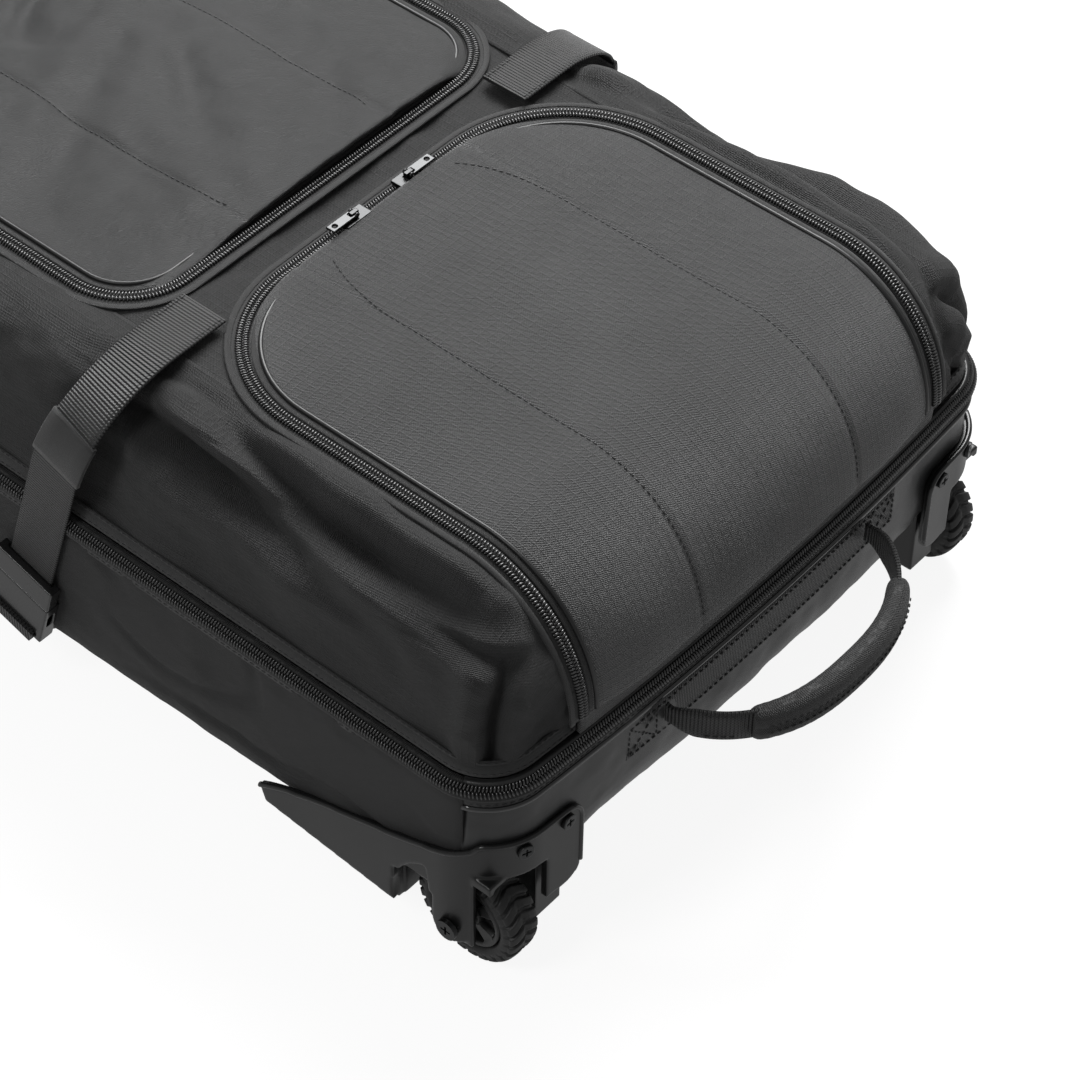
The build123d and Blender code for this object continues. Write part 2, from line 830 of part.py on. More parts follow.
with BuildPart() as strap_keepers:
    for shift, start in pairs:
        add(keeper_pair(shift))

save(strap_webbing.part, "strap_webbing")
save(strap_keepers.part, "strap_keepers")

# ---------------------------------------------------------------- side-release buckles
socket_length = 36.0
plug_length = 20.0
buckle_back = 1.0
buckle_front = buckle_back + buckle_thickness
plug_back = strap_lift - 0.5  # open behind the webbing, and clear of the zip as the lid lifts
slot_half_width = webbing_width / 2 + 1.5
half_buckle = buckle_width / 2
prong_reach = 22.0
tongue_reach = 18.0
bar = 3.0  # the socket's lower bar and the slot above it
loop_gap = 0.3


def buckle_plane(side, shift):
    """On the side wall at the mouth of a socket: X across the strap, Y up it, Z out of the bag."""
    return Plane(
        origin=(side * half_width, strap_centre(buckle_height) + shift, buckle_height),
        x_dir=(0, side * math.cos(lean), side * math.sin(lean)),
        z_dir=(side, 0, 0),
    )


buckle_places = {
    "front_left": buckle_plane(-1, 0),
    "front_right": buckle_plane(1, 0),
    "rear_left": buckle_plane(-1, strap_spacing),
    "rear_right": buckle_plane(1, strap_spacing),
}

with BuildPart() as buckle_sockets:
    cavity = half_buckle - 1.7
    with Locations(*buckle_places.values()):
        keep_box(-half_buckle, half_buckle, -socket_length, 0, buckle_back, buckle_front, mode=Mode.ADD)
        keep_box(-cavity, cavity, -26, 1, buckle_back + 2, buckle_front - 2, mode=Mode.SUBTRACT)
        keep_box(-half_buckle, half_buckle, -20, -9, 4.5, 8.5, mode=Mode.SUBTRACT)
        slot_low = bar - socket_length
        keep_box(-slot_half_width, slot_half_width, slot_low, slot_low + bar, 0, 20, mode=Mode.SUBTRACT)

with BuildPart() as lower_straps:
    for shift, start in pairs:
        tail_top = buckle_height - (socket_length + 1) * math.cos(lean)
        tail_start = half_width - belly_edge_radius + 2
        tail = strap_slice(tray_to, (0, webbing_thickness), webbing_width, (6, tail_top), shift, tail_start)
        add(both_sides(tail))
    with Locations(*buckle_places.values()):
        x = webbing_width / 2
        y = bar - socket_length
        keep_box(-x, x, -socket_length - 2.5, y + bar - loop_gap, 0, buckle_front + 2.5, mode=Mode.ADD)
        back = buckle_back - loop_gap
        front = buckle_front + loop_gap
        keep_box(-x, x, -socket_length - loop_gap, y + loop_gap, back, front, mode=Mode.SUBTRACT)

save(buckle_sockets.part, "buckle_sockets")
save(lower_straps.part, "lower_straps")

for name, place in buckle_places.items():
    with BuildPart() as buckle_plug:
        with Locations(place):
            keep_box(-half_buckle, half_buckle, 0.4, plug_length, plug_back, buckle_front, mode=Mode.ADD)
            x = slot_half_width
            keep_box(-x, x, 0, plug_length + 1, plug_back, strap_top + 0.5, mode=Mode.SUBTRACT)
            for side in (-1, 1):
                with Locations((side * (webbing_width / 2 + 2), 1 - prong_reach / 2, buckle_lift)):
                    Box(3, prong_reach, 5)
            with Locations((0, 1 - tongue_reach / 2, buckle_lift + 2)):
                Box(12, tongue_reach, 2)
    save(buckle_plug.part, f"buckle_plug_{name}")

# ================================================================ zip sliders and pulls
slider_gap = 0.2
slider_half_width = 5.0
slider_half_length = 10.0
plate_top = slider_gap + 2.0
pin_height = plate_top + 2.0
pin_radius = 1.0
lug_half_width = 1.5
lug_half_length = 3.0
cheek_inner = lug_half_width + 0.3
pull_half_width = cheek_inner + 1.4
pull_thickness = 1.6
pull_length = 20.0


def slider_place(x, y, z, along, out):
    """On top of the chain: Y towards where the pull lies, Z out of the bag."""
    return Plane(origin=(x, y, z), x_dir=Vector(*along).cross(Vector(*out)), z_dir=out)


def zip_slider(place):
    with BuildPart() as slider:
        with Locations(place):
            keep_box(
                -slider_half_width, slider_half_width, -slider_half_length, slider_half_length,
                slider_gap, plate_top, mode=Mode.ADD,
            )
            flange = slider_half_width - half_chain - slider_gap
            for x in (-slider_half_width, slider_half_width - flange):
                keep_box(x, x + flange, -9, 9, slider_gap - chain_proud, slider_gap, mode=Mode.ADD)
            keep_box(
                -lug_half_width, lug_half_width, -lug_half_length, lug_half_length,
                plate_top, pin_height + 1.6, mode=Mode.ADD,
            )
            with Locations(Location((0, 0, pin_height), (0, 90, 0))):
                Cylinder(pin_radius + 0.08, 3 * lug_half_width, mode=Mode.SUBTRACT)
    return slider.part


def zip_pull(place):
    with BuildPart() as pull:
        with Locations(place):
            half = pull_thickness / 2
            keep_box(
                -pull_half_width, pull_half_width, 0, pull_length,
                pin_height - half, pin_height + half, mode=Mode.ADD,
            )
            with Locations(Location((0, 0, pin_height), (0, 90, 0))):
                Cylinder(1.8, 2 * pull_half_width)
            keep_box(-cheek_inner, cheek_inner, -4, 4, 0, 2 * pin_height, mode=Mode.SUBTRACT)
            with Locations(Location((0, 0, pin_height), (0, 90, 0))):
                Cylinder(pin_radius, 2 * pull_half_width)
            with Locations((0, pull_length - 4, pin_height)):
                Cylinder(1.6, 4, mode=Mode.SUBTRACT)
    return pull.part


left_wall = -(half_width + chain_top)
deck = lid_top + chain_top
slider_places = {
    "perimeter_{}_front": slider_place(left_wall, 252, zip_height, (0, -1, 0), (-1, 0, 0)),
    "perimeter_{}_rear": slider_place(left_wall, 300, zip_height, (0, 1, 0), (-1, 0, 0)),
    "main_{}_front": slider_place(-flap_half_width, 200, deck, (0, -1, 0), (0, 0, 1)),
    "main_{}_rear": slider_place(-flap_half_width, 248, deck, (0, 1, 0), (0, 0, 1)),
    "pocket_{}_left": slider_place(-16, pocket_head, deck, (-1, 0, 0), (0, 0, 1)),
    "pocket_{}_right": slider_place(31, pocket_head, deck, (1, 0, 0), (0, 0, 1)),
}
for name, place in slider_places.items():
    save(zip_slider(place), name.format("slider"))
    save(zip_pull(place), name.format("pull"))
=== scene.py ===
import math
import bmesh
import bpy
import numpy as np
from mathutils import Matrix, Vector, noise


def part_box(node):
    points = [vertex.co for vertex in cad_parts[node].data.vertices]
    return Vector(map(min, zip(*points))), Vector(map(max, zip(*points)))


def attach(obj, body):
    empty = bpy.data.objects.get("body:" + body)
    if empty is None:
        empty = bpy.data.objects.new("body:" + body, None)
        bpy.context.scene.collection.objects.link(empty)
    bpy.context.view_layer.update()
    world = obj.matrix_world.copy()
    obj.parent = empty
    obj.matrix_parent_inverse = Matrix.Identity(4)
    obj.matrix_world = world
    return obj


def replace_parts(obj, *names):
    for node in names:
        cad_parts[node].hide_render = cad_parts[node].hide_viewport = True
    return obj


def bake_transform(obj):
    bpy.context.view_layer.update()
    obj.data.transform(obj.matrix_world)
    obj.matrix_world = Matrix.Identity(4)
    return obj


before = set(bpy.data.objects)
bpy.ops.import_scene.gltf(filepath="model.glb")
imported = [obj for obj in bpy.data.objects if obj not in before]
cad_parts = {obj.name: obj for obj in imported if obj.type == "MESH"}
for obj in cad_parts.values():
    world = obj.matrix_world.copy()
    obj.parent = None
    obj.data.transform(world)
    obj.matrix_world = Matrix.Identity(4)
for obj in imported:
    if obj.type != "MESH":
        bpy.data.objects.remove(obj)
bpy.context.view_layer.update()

# ---------------------------------------------------------------- sizes read from the frame, in metres
MM = 0.001
half_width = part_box("side_panel_right")[1].x
bow = 10 * MM  # how far the wheel end bulges out in plan
wheel_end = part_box("wheel_end_panel")[0].y + bow
head_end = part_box("head_end_panel")[1].y
lid_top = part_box("main_flap")[1].z
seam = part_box("lid_side_left")[0].z
zip_z = seam - 5.5 * MM
flap_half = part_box("pocket_flap")[1].x + 5.5 * MM  # middle of the chain beside either flap
pocket_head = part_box("pocket_flap")[1].y + 5.5 * MM
main_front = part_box("main_flap")[0].y - 5.5 * MM
main_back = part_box("main_flap")[1].y
pocket_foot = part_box("pocket_flap")[0].z
corner_radius = 38 * MM
nose_radius = 84 * MM
crown_radius = 58 * MM
pocket_corner = 85 * MM
main_corner = 45 * MM
tape_edge = 9 * MM
lid_side_low = seam + 1.5 * MM


# ================================================================ curves on the bag
def resample(points, step):
    """Points spaced evenly along a polyline, about one step apart, with their distances along it."""
    points = np.asarray(points, float)
    gaps = np.linalg.norm(np.diff(points, axis=0), axis=1)
    along = np.concatenate([[0], np.cumsum(gaps)])
    count = max(2, int(round(along[-1] / step)) + 1)
    s = np.linspace(0, along[-1], count)
    return np.stack([np.interp(s, along, points[:, k]) for k in range(points.shape[1])], 1), s


def arc(centre, radius, start, end, steps=24):
    angle = np.radians(np.linspace(start, end, steps))
    return np.stack([centre[0] + radius * np.cos(angle), centre[1] + radius * np.sin(angle)], 1)


bow_radius = (half_width**2 + bow**2) / (2 * bow)
bow_centre = wheel_end - bow + bow_radius
corner_x = half_width - corner_radius
corner_y = bow_centre - math.sqrt((bow_radius - corner_radius) ** 2 - corner_x**2)
bow_angle = math.degrees(math.atan2(corner_y - bow_centre, -corner_x)) % 360


def left_plan():
    """The bag's outline in plan on the left: head end's middle, corner, side, corner, wheel end's middle."""
    head_corner = (-corner_x, head_end - corner_radius)
    return np.concatenate([
        [(0, head_end)],
        arc(head_corner, corner_radius, 90, 180),
        arc((-corner_x, corner_y), corner_radius, 180, bow_angle),
        arc((0, bow_centre), bow_radius, bow_angle, 270, 60)[1:],
    ])


left_line, _ = resample(left_plan(), 2 * MM)
right_line = left_line[::-1][1:] * (-1, 1)
plan_line = np.concatenate([left_line, right_line])
plan_s = np.concatenate([[0], np.cumsum(np.linalg.norm(np.diff(plan_line, axis=0), axis=1))])
plan_length = plan_s[-1]
tangent = np.gradient(plan_line, axis=0)
tangent /= np.linalg.norm(tangent, axis=1)[:, None]
plan_out = np.stack([tangent[:, 1], -tangent[:, 0]], 1)


def plan_at(s):
    """Place and outward direction at distances s round the outline."""
    s = np.asarray(s, float)
    place = np.stack([np.interp(s, plan_s, plan_line[:, k]) for k in (0, 1)], -1)
    out = np.stack([np.interp(s, plan_s, plan_out[:, k]) for k in (0, 1)], -1)
    return place, out / np.linalg.norm(out, axis=-1, keepdims=True)


def plan_distance(x, y):
    """How far round the outline its nearest point to (x, y) lies."""
    return plan_s[np.argmin((plan_line[:, 0] - x) ** 2 + (plan_line[:, 1] - y) ** 2)]


# The lid's profile along the bag: up the wheel end, over the nose, along the top, down the head end.
nose_centre = (wheel_end - bow + nose_radius, lid_top - nose_radius)
crown_centre = (head_end - crown_radius, lid_top - crown_radius)
ridge_line, ridge_q = resample(np.concatenate([
    [(wheel_end - bow, lid_side_low)],
    arc(nose_centre, nose_radius, 180, 90, 40),
    arc(crown_centre, crown_radius, 90, 0, 40),
    [(head_end, lid_side_low)],
]), 1.5 * MM)
ridge_tangent = np.gradient(ridge_line, axis=0)
ridge_tangent /= np.linalg.norm(ridge_tangent, axis=1)[:, None]
ridge_out = np.stack([-ridge_tangent[:, 1], ridge_tangent[:, 0]], 1)
flat_start = np.interp(0.0, ridge_line[:, 0], ridge_q)


def ridge_of(y):
    """Distance along the ridge where its flat top passes y."""
    return flat_start + y


def lid_at(x, q, lift=0.0):
    """Point on the lid at x, a distance q along its profile, lifted off it; and the outward normal."""
    x, q, lift = np.broadcast_arrays(np.asarray(x, float), np.asarray(q, float), np.asarray(lift, float))
    y = np.interp(q, ridge_q, ridge_line[:, 0])
    z = np.interp(q, ridge_q, ridge_line[:, 1])
    ny = np.interp(q, ridge_q, ridge_out[:, 0])
    nz = np.interp(q, ridge_q, ridge_out[:, 1])
    y = y + x * x / (2 * bow_radius) * np.clip(-ny, 0, 1)
    normal = np.stack([np.zeros_like(ny), ny, nz], -1)
    normal /= np.linalg.norm(normal, axis=-1, keepdims=True)
    return np.stack([x, y, z], -1) + normal * lift[..., None], normal


# ================================================================ mesh helpers
def finish_mesh(mesh, name, material, body, nodes, smooth=True):
    mesh.polygons.foreach_set("use_smooth", [smooth] * len(mesh.polygons))
    mesh.materials.append(material)
    piece = bpy.data.objects.new(name, mesh)
    bpy.context.scene.collection.objects.link(piece)
    if body:
        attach(piece, body)
    if nodes:
        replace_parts(piece, *nodes)
    return piece


def mesh_from(name, verts, faces, uv, material, body, nodes=(), smooth=True):
    """A piece from arrays: verts (n, 3), quads (m, 4) and one uv per vertex in metres."""
    mesh = bpy.data.meshes.new(name)
    mesh.vertices.add(len(verts))
    mesh.vertices.foreach_set("co", np.asarray(verts, np.float32).ravel())
    mesh.loops.add(faces.size)
    mesh.loops.foreach_set("vertex_index", faces.astype(np.int32).ravel())
    mesh.polygons.add(len(faces))
    mesh.polygons.foreach_set("loop_start", np.arange(0, faces.size, faces.shape[1], dtype=np.int32))
    layer = mesh.uv_layers.new(name="UVMap")
    layer.data.foreach_set("uv", np.asarray(uv, np.float32)[faces.ravel()].ravel())
    mesh.update(calc_edges=True)
    mesh.validate()
    return finish_mesh(mesh, name, material, body, nodes, smooth)


def grid_faces(rows, cols, closed=False):
    index = np.arange(rows * cols).reshape(rows, cols)
    if closed:
        index = np.concatenate([index, index[:, :1]], 1)
    corners = [index[:-1, :-1], index[1:, :-1], index[1:, 1:], index[:-1, 1:]]
    return np.stack(corners, -1).reshape(-1, 4)


def grid_normals(points):
    normal = np.cross(np.gradient(points, axis=0), np.gradient(points, axis=1))
    return normal / np.maximum(np.linalg.norm(normal, axis=-1, keepdims=True), 1e-12)


def surface_normals(points):
    """Normals of a grid of points on the bag, turned to face away from a line along its middle."""
    normal = grid_normals(points)
    middle_y = np.clip(points[..., 1], wheel_end + 0.15, head_end - 0.15)
    middle = np.stack([0 * middle_y, middle_y, 0 * middle_y + 0.13], -1)
    outward = points - middle
    sign = np.sign(np.sum(normal * outward, axis=-1, keepdims=True))
    return normal * np.where(sign == 0, 1, sign)


def sheet(name, points, uv, material, body, nodes=(), thickness=3 * MM):
    """A cloth piece from a grid of points (rows, cols, 3), thickened inward from its outer face."""
    rows, cols = points.shape[:2]
    faces = grid_faces(rows, cols)
    if np.sum(grid_normals(points) * surface_normals(points)) < 0:
        faces = faces[:, ::-1]
    piece = mesh_from(name, points.reshape(-1, 3), faces, uv.reshape(-1, 2), material, body, nodes)
    if thickness:
        solid = piece.modifiers.new("thickness", "SOLIDIFY")
        solid.thickness = thickness
        solid.offset = -1
    return piece


def sweep(name, points, normals, profile, material, body, nodes=(), caps=True):
    """Sweeps a closed profile of (across, out) pairs along points; uv runs along and round it."""
    points = np.asarray(points, float)
    normals = np.asarray(normals, float)
    profile = np.asarray(profile, float)
    along = np.gradient(points, axis=0)
    along /= np.linalg.norm(along, axis=1)[:, None]
    across = np.cross(normals, along)
    across /= np.linalg.norm(across, axis=1)[:, None]
    verts = points[:, None] + across[:, None] * profile[None, :, :1] + normals[:, None] * profile[None, :, 1:]
    rows, cols = verts.shape[:2]
    run = np.concatenate([[0], np.cumsum(np.linalg.norm(np.diff(points, axis=0), axis=1))])
    uv = np.stack(np.broadcast_arrays(run[:, None], profile[None, :, 0]), -1)
    faces = grid_faces(rows, cols, closed=True)
    piece = mesh_from(name, verts.reshape(-1, 3), faces, uv.reshape(-1, 2), material, body, nodes)
    if caps:
        cap_ends(piece.data, rows, cols)
    return piece


def cap_ends(mesh, rows, cols):
    work = bmesh.new()
    work.from_mesh(mesh)
    work.verts.ensure_lookup_table()
    work.faces.new([work.verts[k] for k in range(cols)])
    work.faces.new([work.verts[(rows - 1) * cols + k] for k in reversed(range(cols))])
    bmesh.ops.recalc_face_normals(work, faces=work.faces)
    work.to_mesh(mesh)
    work.free()


def ring_profile(place, height, half_width, half_height, count):
    """Closed oval profile round a middle at (place, height)."""
    turns = np.linspace(0, 2 * np.pi, count + 1)[:-1]
    return [(place + half_width * math.cos(a), height + half_height * math.sin(a)) for a in turns]


def band_profile(low, high, bottom, top, steps=1):
    """Closed rectangular profile between two places across and two heights, rounded a little."""
    r = min(0.45 * (top - bottom), 0.5 * MM)
    xs = np.linspace(low + r, high - r, steps + 1)
    upper = [(x, top) for x in xs[::-1]]
    lower = [(x, bottom) for x in xs]
    return lower + [(high, bottom + r), (high, top - r)] + upper + [(low, top - r), (low, bottom + r)]


def join(name, parts):
    """Joins pieces that ride on one body into one piece."""
    bpy.ops.object.select_all(action="DESELECT")
    for part in parts:
        part.select_set(True)
    bpy.context.view_layer.objects.active = parts[0]
    bpy.ops.object.join()
    parts[0].name = name
    return parts[0]


# ================================================================ materials
def new_material(name):
    material = bpy.data.materials.new(name)
    material.use_nodes = True
    return material, material.node_tree.nodes, material.node_tree.links


def math_node(nodes, links, operation, a, b=None):
    node = nodes.new("ShaderNodeMath")
    node.operation = operation
    for slot, value in enumerate((a, b)):
        if value is None:
            continue
        if isinstance(value, (int, float)):
            node.inputs[slot].default_value = value
        else:
            links.new(value, node.inputs[slot])
    return node.outputs[0]


def cloth_axes(nodes, links, solid):
    """The two directions of a weave: the uv in metres or, on a CAD solid, its own axes."""
    split = nodes.new("ShaderNodeSeparateXYZ")
    if not solid:
        links.new(nodes.new("ShaderNodeUVMap").outputs[0], split.inputs[0])
        return split.outputs[0], split.outputs[1]
    links.new(nodes.new("ShaderNodeTexCoord").outputs["Object"], split.inputs[0])
    return split.outputs[1], math_node(nodes, links, "ADD", split.outputs[0], split.outputs[2])


def wave(nodes, links, value, pitch, phase=0.0):
    scaled = math_node(nodes, links, "MULTIPLY_ADD", value, 2 * math.pi / pitch)
    scaled.node.inputs[2].default_value = phase
    return math_node(nodes, links, "SINE", scaled)


def noise_node(nodes, links, scale, detail=3.0, rough=0.55, vector=None):
    node = nodes.new("ShaderNodeTexNoise")
    node.inputs["Scale"].default_value = scale
    node.inputs["Detail"].default_value = detail
    node.inputs["Roughness"].default_value = rough
    if vector is None:
        coords = nodes.new("ShaderNodeTexCoord")
        vector = coords.outputs["Object"]
    links.new(vector, node.inputs["Vector"])
    return node.outputs["Fac"]


def ramp(nodes, links, factor, low, high, dark, light):
    node = nodes.new("ShaderNodeValToRGB")
    node.color_ramp.elements[0].position = low
    node.color_ramp.elements[1].position = high
    node.color_ramp.elements[0].color = (*dark, 1)
    node.color_ramp.elements[1].color = (*light, 1)
    links.new(factor, node.inputs[0])
    return node.outputs[0]


def bump(nodes, links, height, distance, strength, shader, below=None):
    node = nodes.new("ShaderNodeBump")
    node.inputs["Distance"].default_value = distance
    node.inputs["Strength"].default_value = strength
    links.new(height, node.inputs["Height"])
    if below is not None:
        links.new(below, node.inputs["Normal"])
    links.new(node.outputs[0], shader.inputs["Normal"])
    return node.outputs[0]


def grey(value, tint=0.015):
    """A near neutral with a slight cool cast."""
    return (value * (1 - tint), value, value * (1 + tint))


def cloth(
    name, value, pitch=1.1 * MM, ripstop=None, rough=0.62, sheen=0.25, weave=0.5, twill=False, solid=False,
):
    """Woven cloth: crossing threads from the uv in metres, blotches, and optional ripstop lines."""
    material, nodes, links = new_material(name)
    shader = nodes["Principled BSDF"]
    u, v = cloth_axes(nodes, links, solid)
    drift = math_node(nodes, links, "MULTIPLY", noise_node(nodes, links, 130.0, 3.0, 0.7), 1.4 * MM)
    u = math_node(nodes, links, "ADD", u, drift)
    v = math_node(nodes, links, "ADD", v, drift)
    warp = wave(nodes, links, u, pitch)
    weft = wave(nodes, links, v, pitch)
    if twill:
        slanted = math_node(nodes, links, "ADD", u, v)
        threads = wave(nodes, links, slanted, pitch)
    else:
        threads = math_node(nodes, links, "MULTIPLY", warp, weft)
    height = threads
    if ripstop:
        for axis in (u, v):
            line = wave(nodes, links, axis, ripstop)
            line = math_node(nodes, links, "SUBTRACT", line, 0.82)
            line = math_node(nodes, links, "MAXIMUM", line, 0.0)
            line = math_node(nodes, links, "MULTIPLY", line, 4.0)
            height = math_node(nodes, links, "ADD", height, line)
    blotch = noise_node(nodes, links, 9.0, 5.0, 0.6)
    fine = noise_node(nodes, links, 420.0, 2.0, 0.7)
    tone = math_node(nodes, links, "MULTIPLY", threads, 0.22)
    tone = math_node(nodes, links, "ADD", tone, blotch)
    spread = math_node(nodes, links, "MULTIPLY", fine, 0.35)
    tone = math_node(nodes, links, "ADD", tone, spread)
    colour = ramp(nodes, links, tone, 0.35, 1.05, grey(value * 0.72), grey(value * 1.35))
    links.new(colour, shader.inputs["Base Color"])
    roughness = math_node(nodes, links, "MULTIPLY_ADD", blotch, 0.2)
    roughness.node.inputs[2].default_value = rough - 0.1
    links.new(roughness, shader.inputs["Roughness"])
    shader.inputs["Sheen Weight"].default_value = sheen
    shader.inputs["Sheen Roughness"].default_value = 0.45
    shader.inputs["Specular IOR Level"].default_value = 0.4
    first = bump(nodes, links, height, 0.4 * MM, weave, shader)
    bump(nodes, links, noise_node(nodes, links, 60.0, 4.0), 0.6 * MM, 0.25, shader, first)
    return material


def webbing_cloth(name, value, pitch=2.2 * MM, rough=0.5, solid=False):
    """Webbing: ribs across the band, with a fine zigzag along it."""
    material, nodes, links = new_material(name)
    shader = nodes["Principled BSDF"]
    u, v = cloth_axes(nodes, links, solid)
    zig = wave(nodes, links, v, 2.2 * MM)
    bent = math_node(nodes, links, "MULTIPLY_ADD", zig, 0.12 * MM)
    links.new(u, bent.node.inputs[2])
    ribs = wave(nodes, links, bent, pitch)
    fine = noise_node(nodes, links, 500.0, 2.0, 0.7)
    tone = math_node(nodes, links, "MULTIPLY_ADD", ribs, 0.22)
    links.new(fine, tone.node.inputs[2])
    colour = ramp(nodes, links, tone, 0.25, 0.95, grey(value * 0.55), grey(value * 1.5))
    links.new(colour, shader.inputs["Base Color"])
    shader.inputs["Roughness"].default_value = rough
    shader.inputs["Sheen Weight"].default_value = 0.06
    bump(nodes, links, ribs, 0.5 * MM, 1.0, shader)
    return material


def moulded(name, value, rough=0.4, grain=0.15, scale=900.0, coat=0.0, shine=0.4):
    """Moulded plastic: a fine spark-eroded grain and slow changes of gloss."""
    material, nodes, links = new_material(name)
    shader = nodes["Principled BSDF"]
    slow = noise_node(nodes, links, 14.0, 4.0)
    mottled = ramp(nodes, links, slow, 0.3, 0.75, grey(value * 0.85), grey(value * 1.2))
    links.new(mottled, shader.inputs["Base Color"])
    roughness = math_node(nodes, links, "MULTIPLY_ADD", slow, 0.25)
    roughness.node.inputs[2].default_value = rough - 0.12
    links.new(roughness, shader.inputs["Roughness"])
    shader.inputs["Coat Weight"].default_value = coat
    shader.inputs["Specular IOR Level"].default_value = shine
    bump(nodes, links, noise_node(nodes, links, scale, 2.0), 0.15 * MM, grain, shader)
    return material


def metal(name, value, rough=0.32, metallic=1.0):
    """Plated or blackened metal with fine scratches."""
    material, nodes, links = new_material(name)
    shader = nodes["Principled BSDF"]
    scratch = noise_node(nodes, links, 350.0, 3.0, 0.7)
    tint = ramp(nodes, links, scratch, 0.3, 0.8, grey(value * 0.8), grey(value * 1.15))
    links.new(tint, shader.inputs["Base Color"])
    shader.inputs["Metallic"].default_value = metallic
    roughness = math_node(nodes, links, "MULTIPLY_ADD", scratch, 0.2)
    roughness.node.inputs[2].default_value = rough - 0.08
    links.new(roughness, shader.inputs["Roughness"])
    bump(nodes, links, scratch, 0.08 * MM, 0.2, shader)
    return material


side_cloth = cloth("side_cloth", 0.009, pitch=1.2 * MM, rough=0.66, sheen=0.05, weave=0.9)
gusset_cloth = cloth(
    "gusset_cloth", 0.011, pitch=1.2 * MM, ripstop=4.4 * MM, rough=0.62, sheen=0.06, weave=1.0,
)
main_cloth = cloth("main_cloth", 0.018, pitch=1.0 * MM, rough=0.55, sheen=0.08, weave=0.7, twill=True)
# The pocket cloth is set lighter than the other panels. This is partly the pocket fabric's own tone and partly
# a painted highlight standing in for the key softbox's light falling on the top of the lid.
pocket_cloth_painted_highlight = cloth(
    "pocket_cloth_painted_highlight", 0.03, pitch=1.4 * MM, ripstop=5.6 * MM, rough=0.46, sheen=0.22, weave=1.0,
)
lining_cloth = cloth("lining_cloth", 0.05, pitch=1.0 * MM, rough=0.7, solid=True)
coated_cloth = cloth("coated_cloth", 0.012, pitch=0.8 * MM, rough=0.36, sheen=0.05, weave=0.12)
tape_cloth = cloth("tape_cloth", 0.007, pitch=1.0 * MM, rough=0.6, sheen=0.1, twill=True)
grip_cloth = cloth("grip_cloth", 0.014, pitch=1.3 * MM, rough=0.6, sheen=0.08, weave=0.8)
elastic_cloth = cloth("elastic_cloth", 0.01, pitch=0.8 * MM, rough=0.55)
solid_webbing = webbing_cloth("solid_webbing", 0.009, solid=True)
strap_cloth = webbing_cloth("strap_cloth", 0.008)
patch_cloth = webbing_cloth("patch_cloth", 0.022, pitch=1.5 * MM)
thread = moulded("thread", 0.02, rough=0.5, grain=0.5)
coil_nylon = moulded("coil_nylon", 0.008, rough=0.26, grain=0.1, shine=0.8)
piping_vinyl = moulded("piping_vinyl", 0.008, rough=0.42, grain=0.3)
bead_vinyl = moulded("bead_vinyl", 0.01, rough=0.22, grain=0.1, shine=0.7)
housing_plastic = moulded("housing_plastic", 0.006, rough=0.34, grain=0.3, scale=1100.0)
lip_plastic = moulded("lip_plastic", 0.008, rough=0.25, grain=0.1)
buckle_plastic = moulded("buckle_plastic", 0.007, rough=0.26, grain=0.1, coat=0.2)
hub_plastic = moulded("hub_plastic", 0.01, rough=0.4)
tyre_rubber = moulded("tyre_rubber", 0.009, rough=0.55, grain=0.4, scale=700.0)
board_plastic = moulded("board_plastic", 0.05, rough=0.6)
black_steel = metal("black_steel", 0.05, rough=0.35)
bright_steel = metal("bright_steel", 0.5, rough=0.3)
bush_metal = metal("bush_metal", 0.45, rough=0.35)
slider_metal = metal("slider_metal", 0.035, rough=0.3)
pull_metal = metal("pull_metal", 0.045, rough=0.3)

carried_over = {
    "floor_board": board_plastic,
    "housing_backing_plates": bright_steel,
    "housing_screws": black_steel,
    "wheel_axles": black_steel,
    "axle_nuts": bright_steel,
    "wheel_bush_right": bush_metal,
    "wheel_bush_left": bush_metal,
    "wheel_housing_right": housing_plastic,
    "wheel_housing_left": housing_plastic,
    "wheel_tyre_right": tyre_rubber,
    "wheel_tyre_left": tyre_rubber,
    "wheel_hub_right": hub_plastic,
    "wheel_hub_left": hub_plastic,
    "buckle_sockets": buckle_plastic,
    "lid_divider": lining_cloth,
    "pocket_bulkhead": lining_cloth,
    "tie_down_straps": solid_webbing,
    "lower_straps": solid_webbing,
    "strap_webbing": strap_cloth,
    "strap_keepers": elastic_cloth,
    "end_handle_loop": strap_cloth,
    "head_handle_loop": strap_cloth,
    "end_handle_grip": grip_cloth,
    "head_handle_grip": grip_cloth,
    "handle_patch": solid_webbing,
}
for where in ("front_left", "front_right", "rear_left", "rear_right"):
    carried_over[f"buckle_plug_{where}"] = buckle_plastic
for where in ("perimeter_{}_front", "perimeter_{}_rear", "main_{}_front", "main_{}_rear"):
    carried_over[where.format("slider")] = slider_metal
    carried_over[where.format("pull")] = pull_metal
for where in ("left", "right"):
    carried_over[f"pocket_slider_{where}"] = slider_metal
    carried_over[f"pocket_pull_{where}"] = pull_metal

for name, material in carried_over.items():
    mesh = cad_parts[name].data
    mesh.materials.clear()
    mesh.materials.append(material)


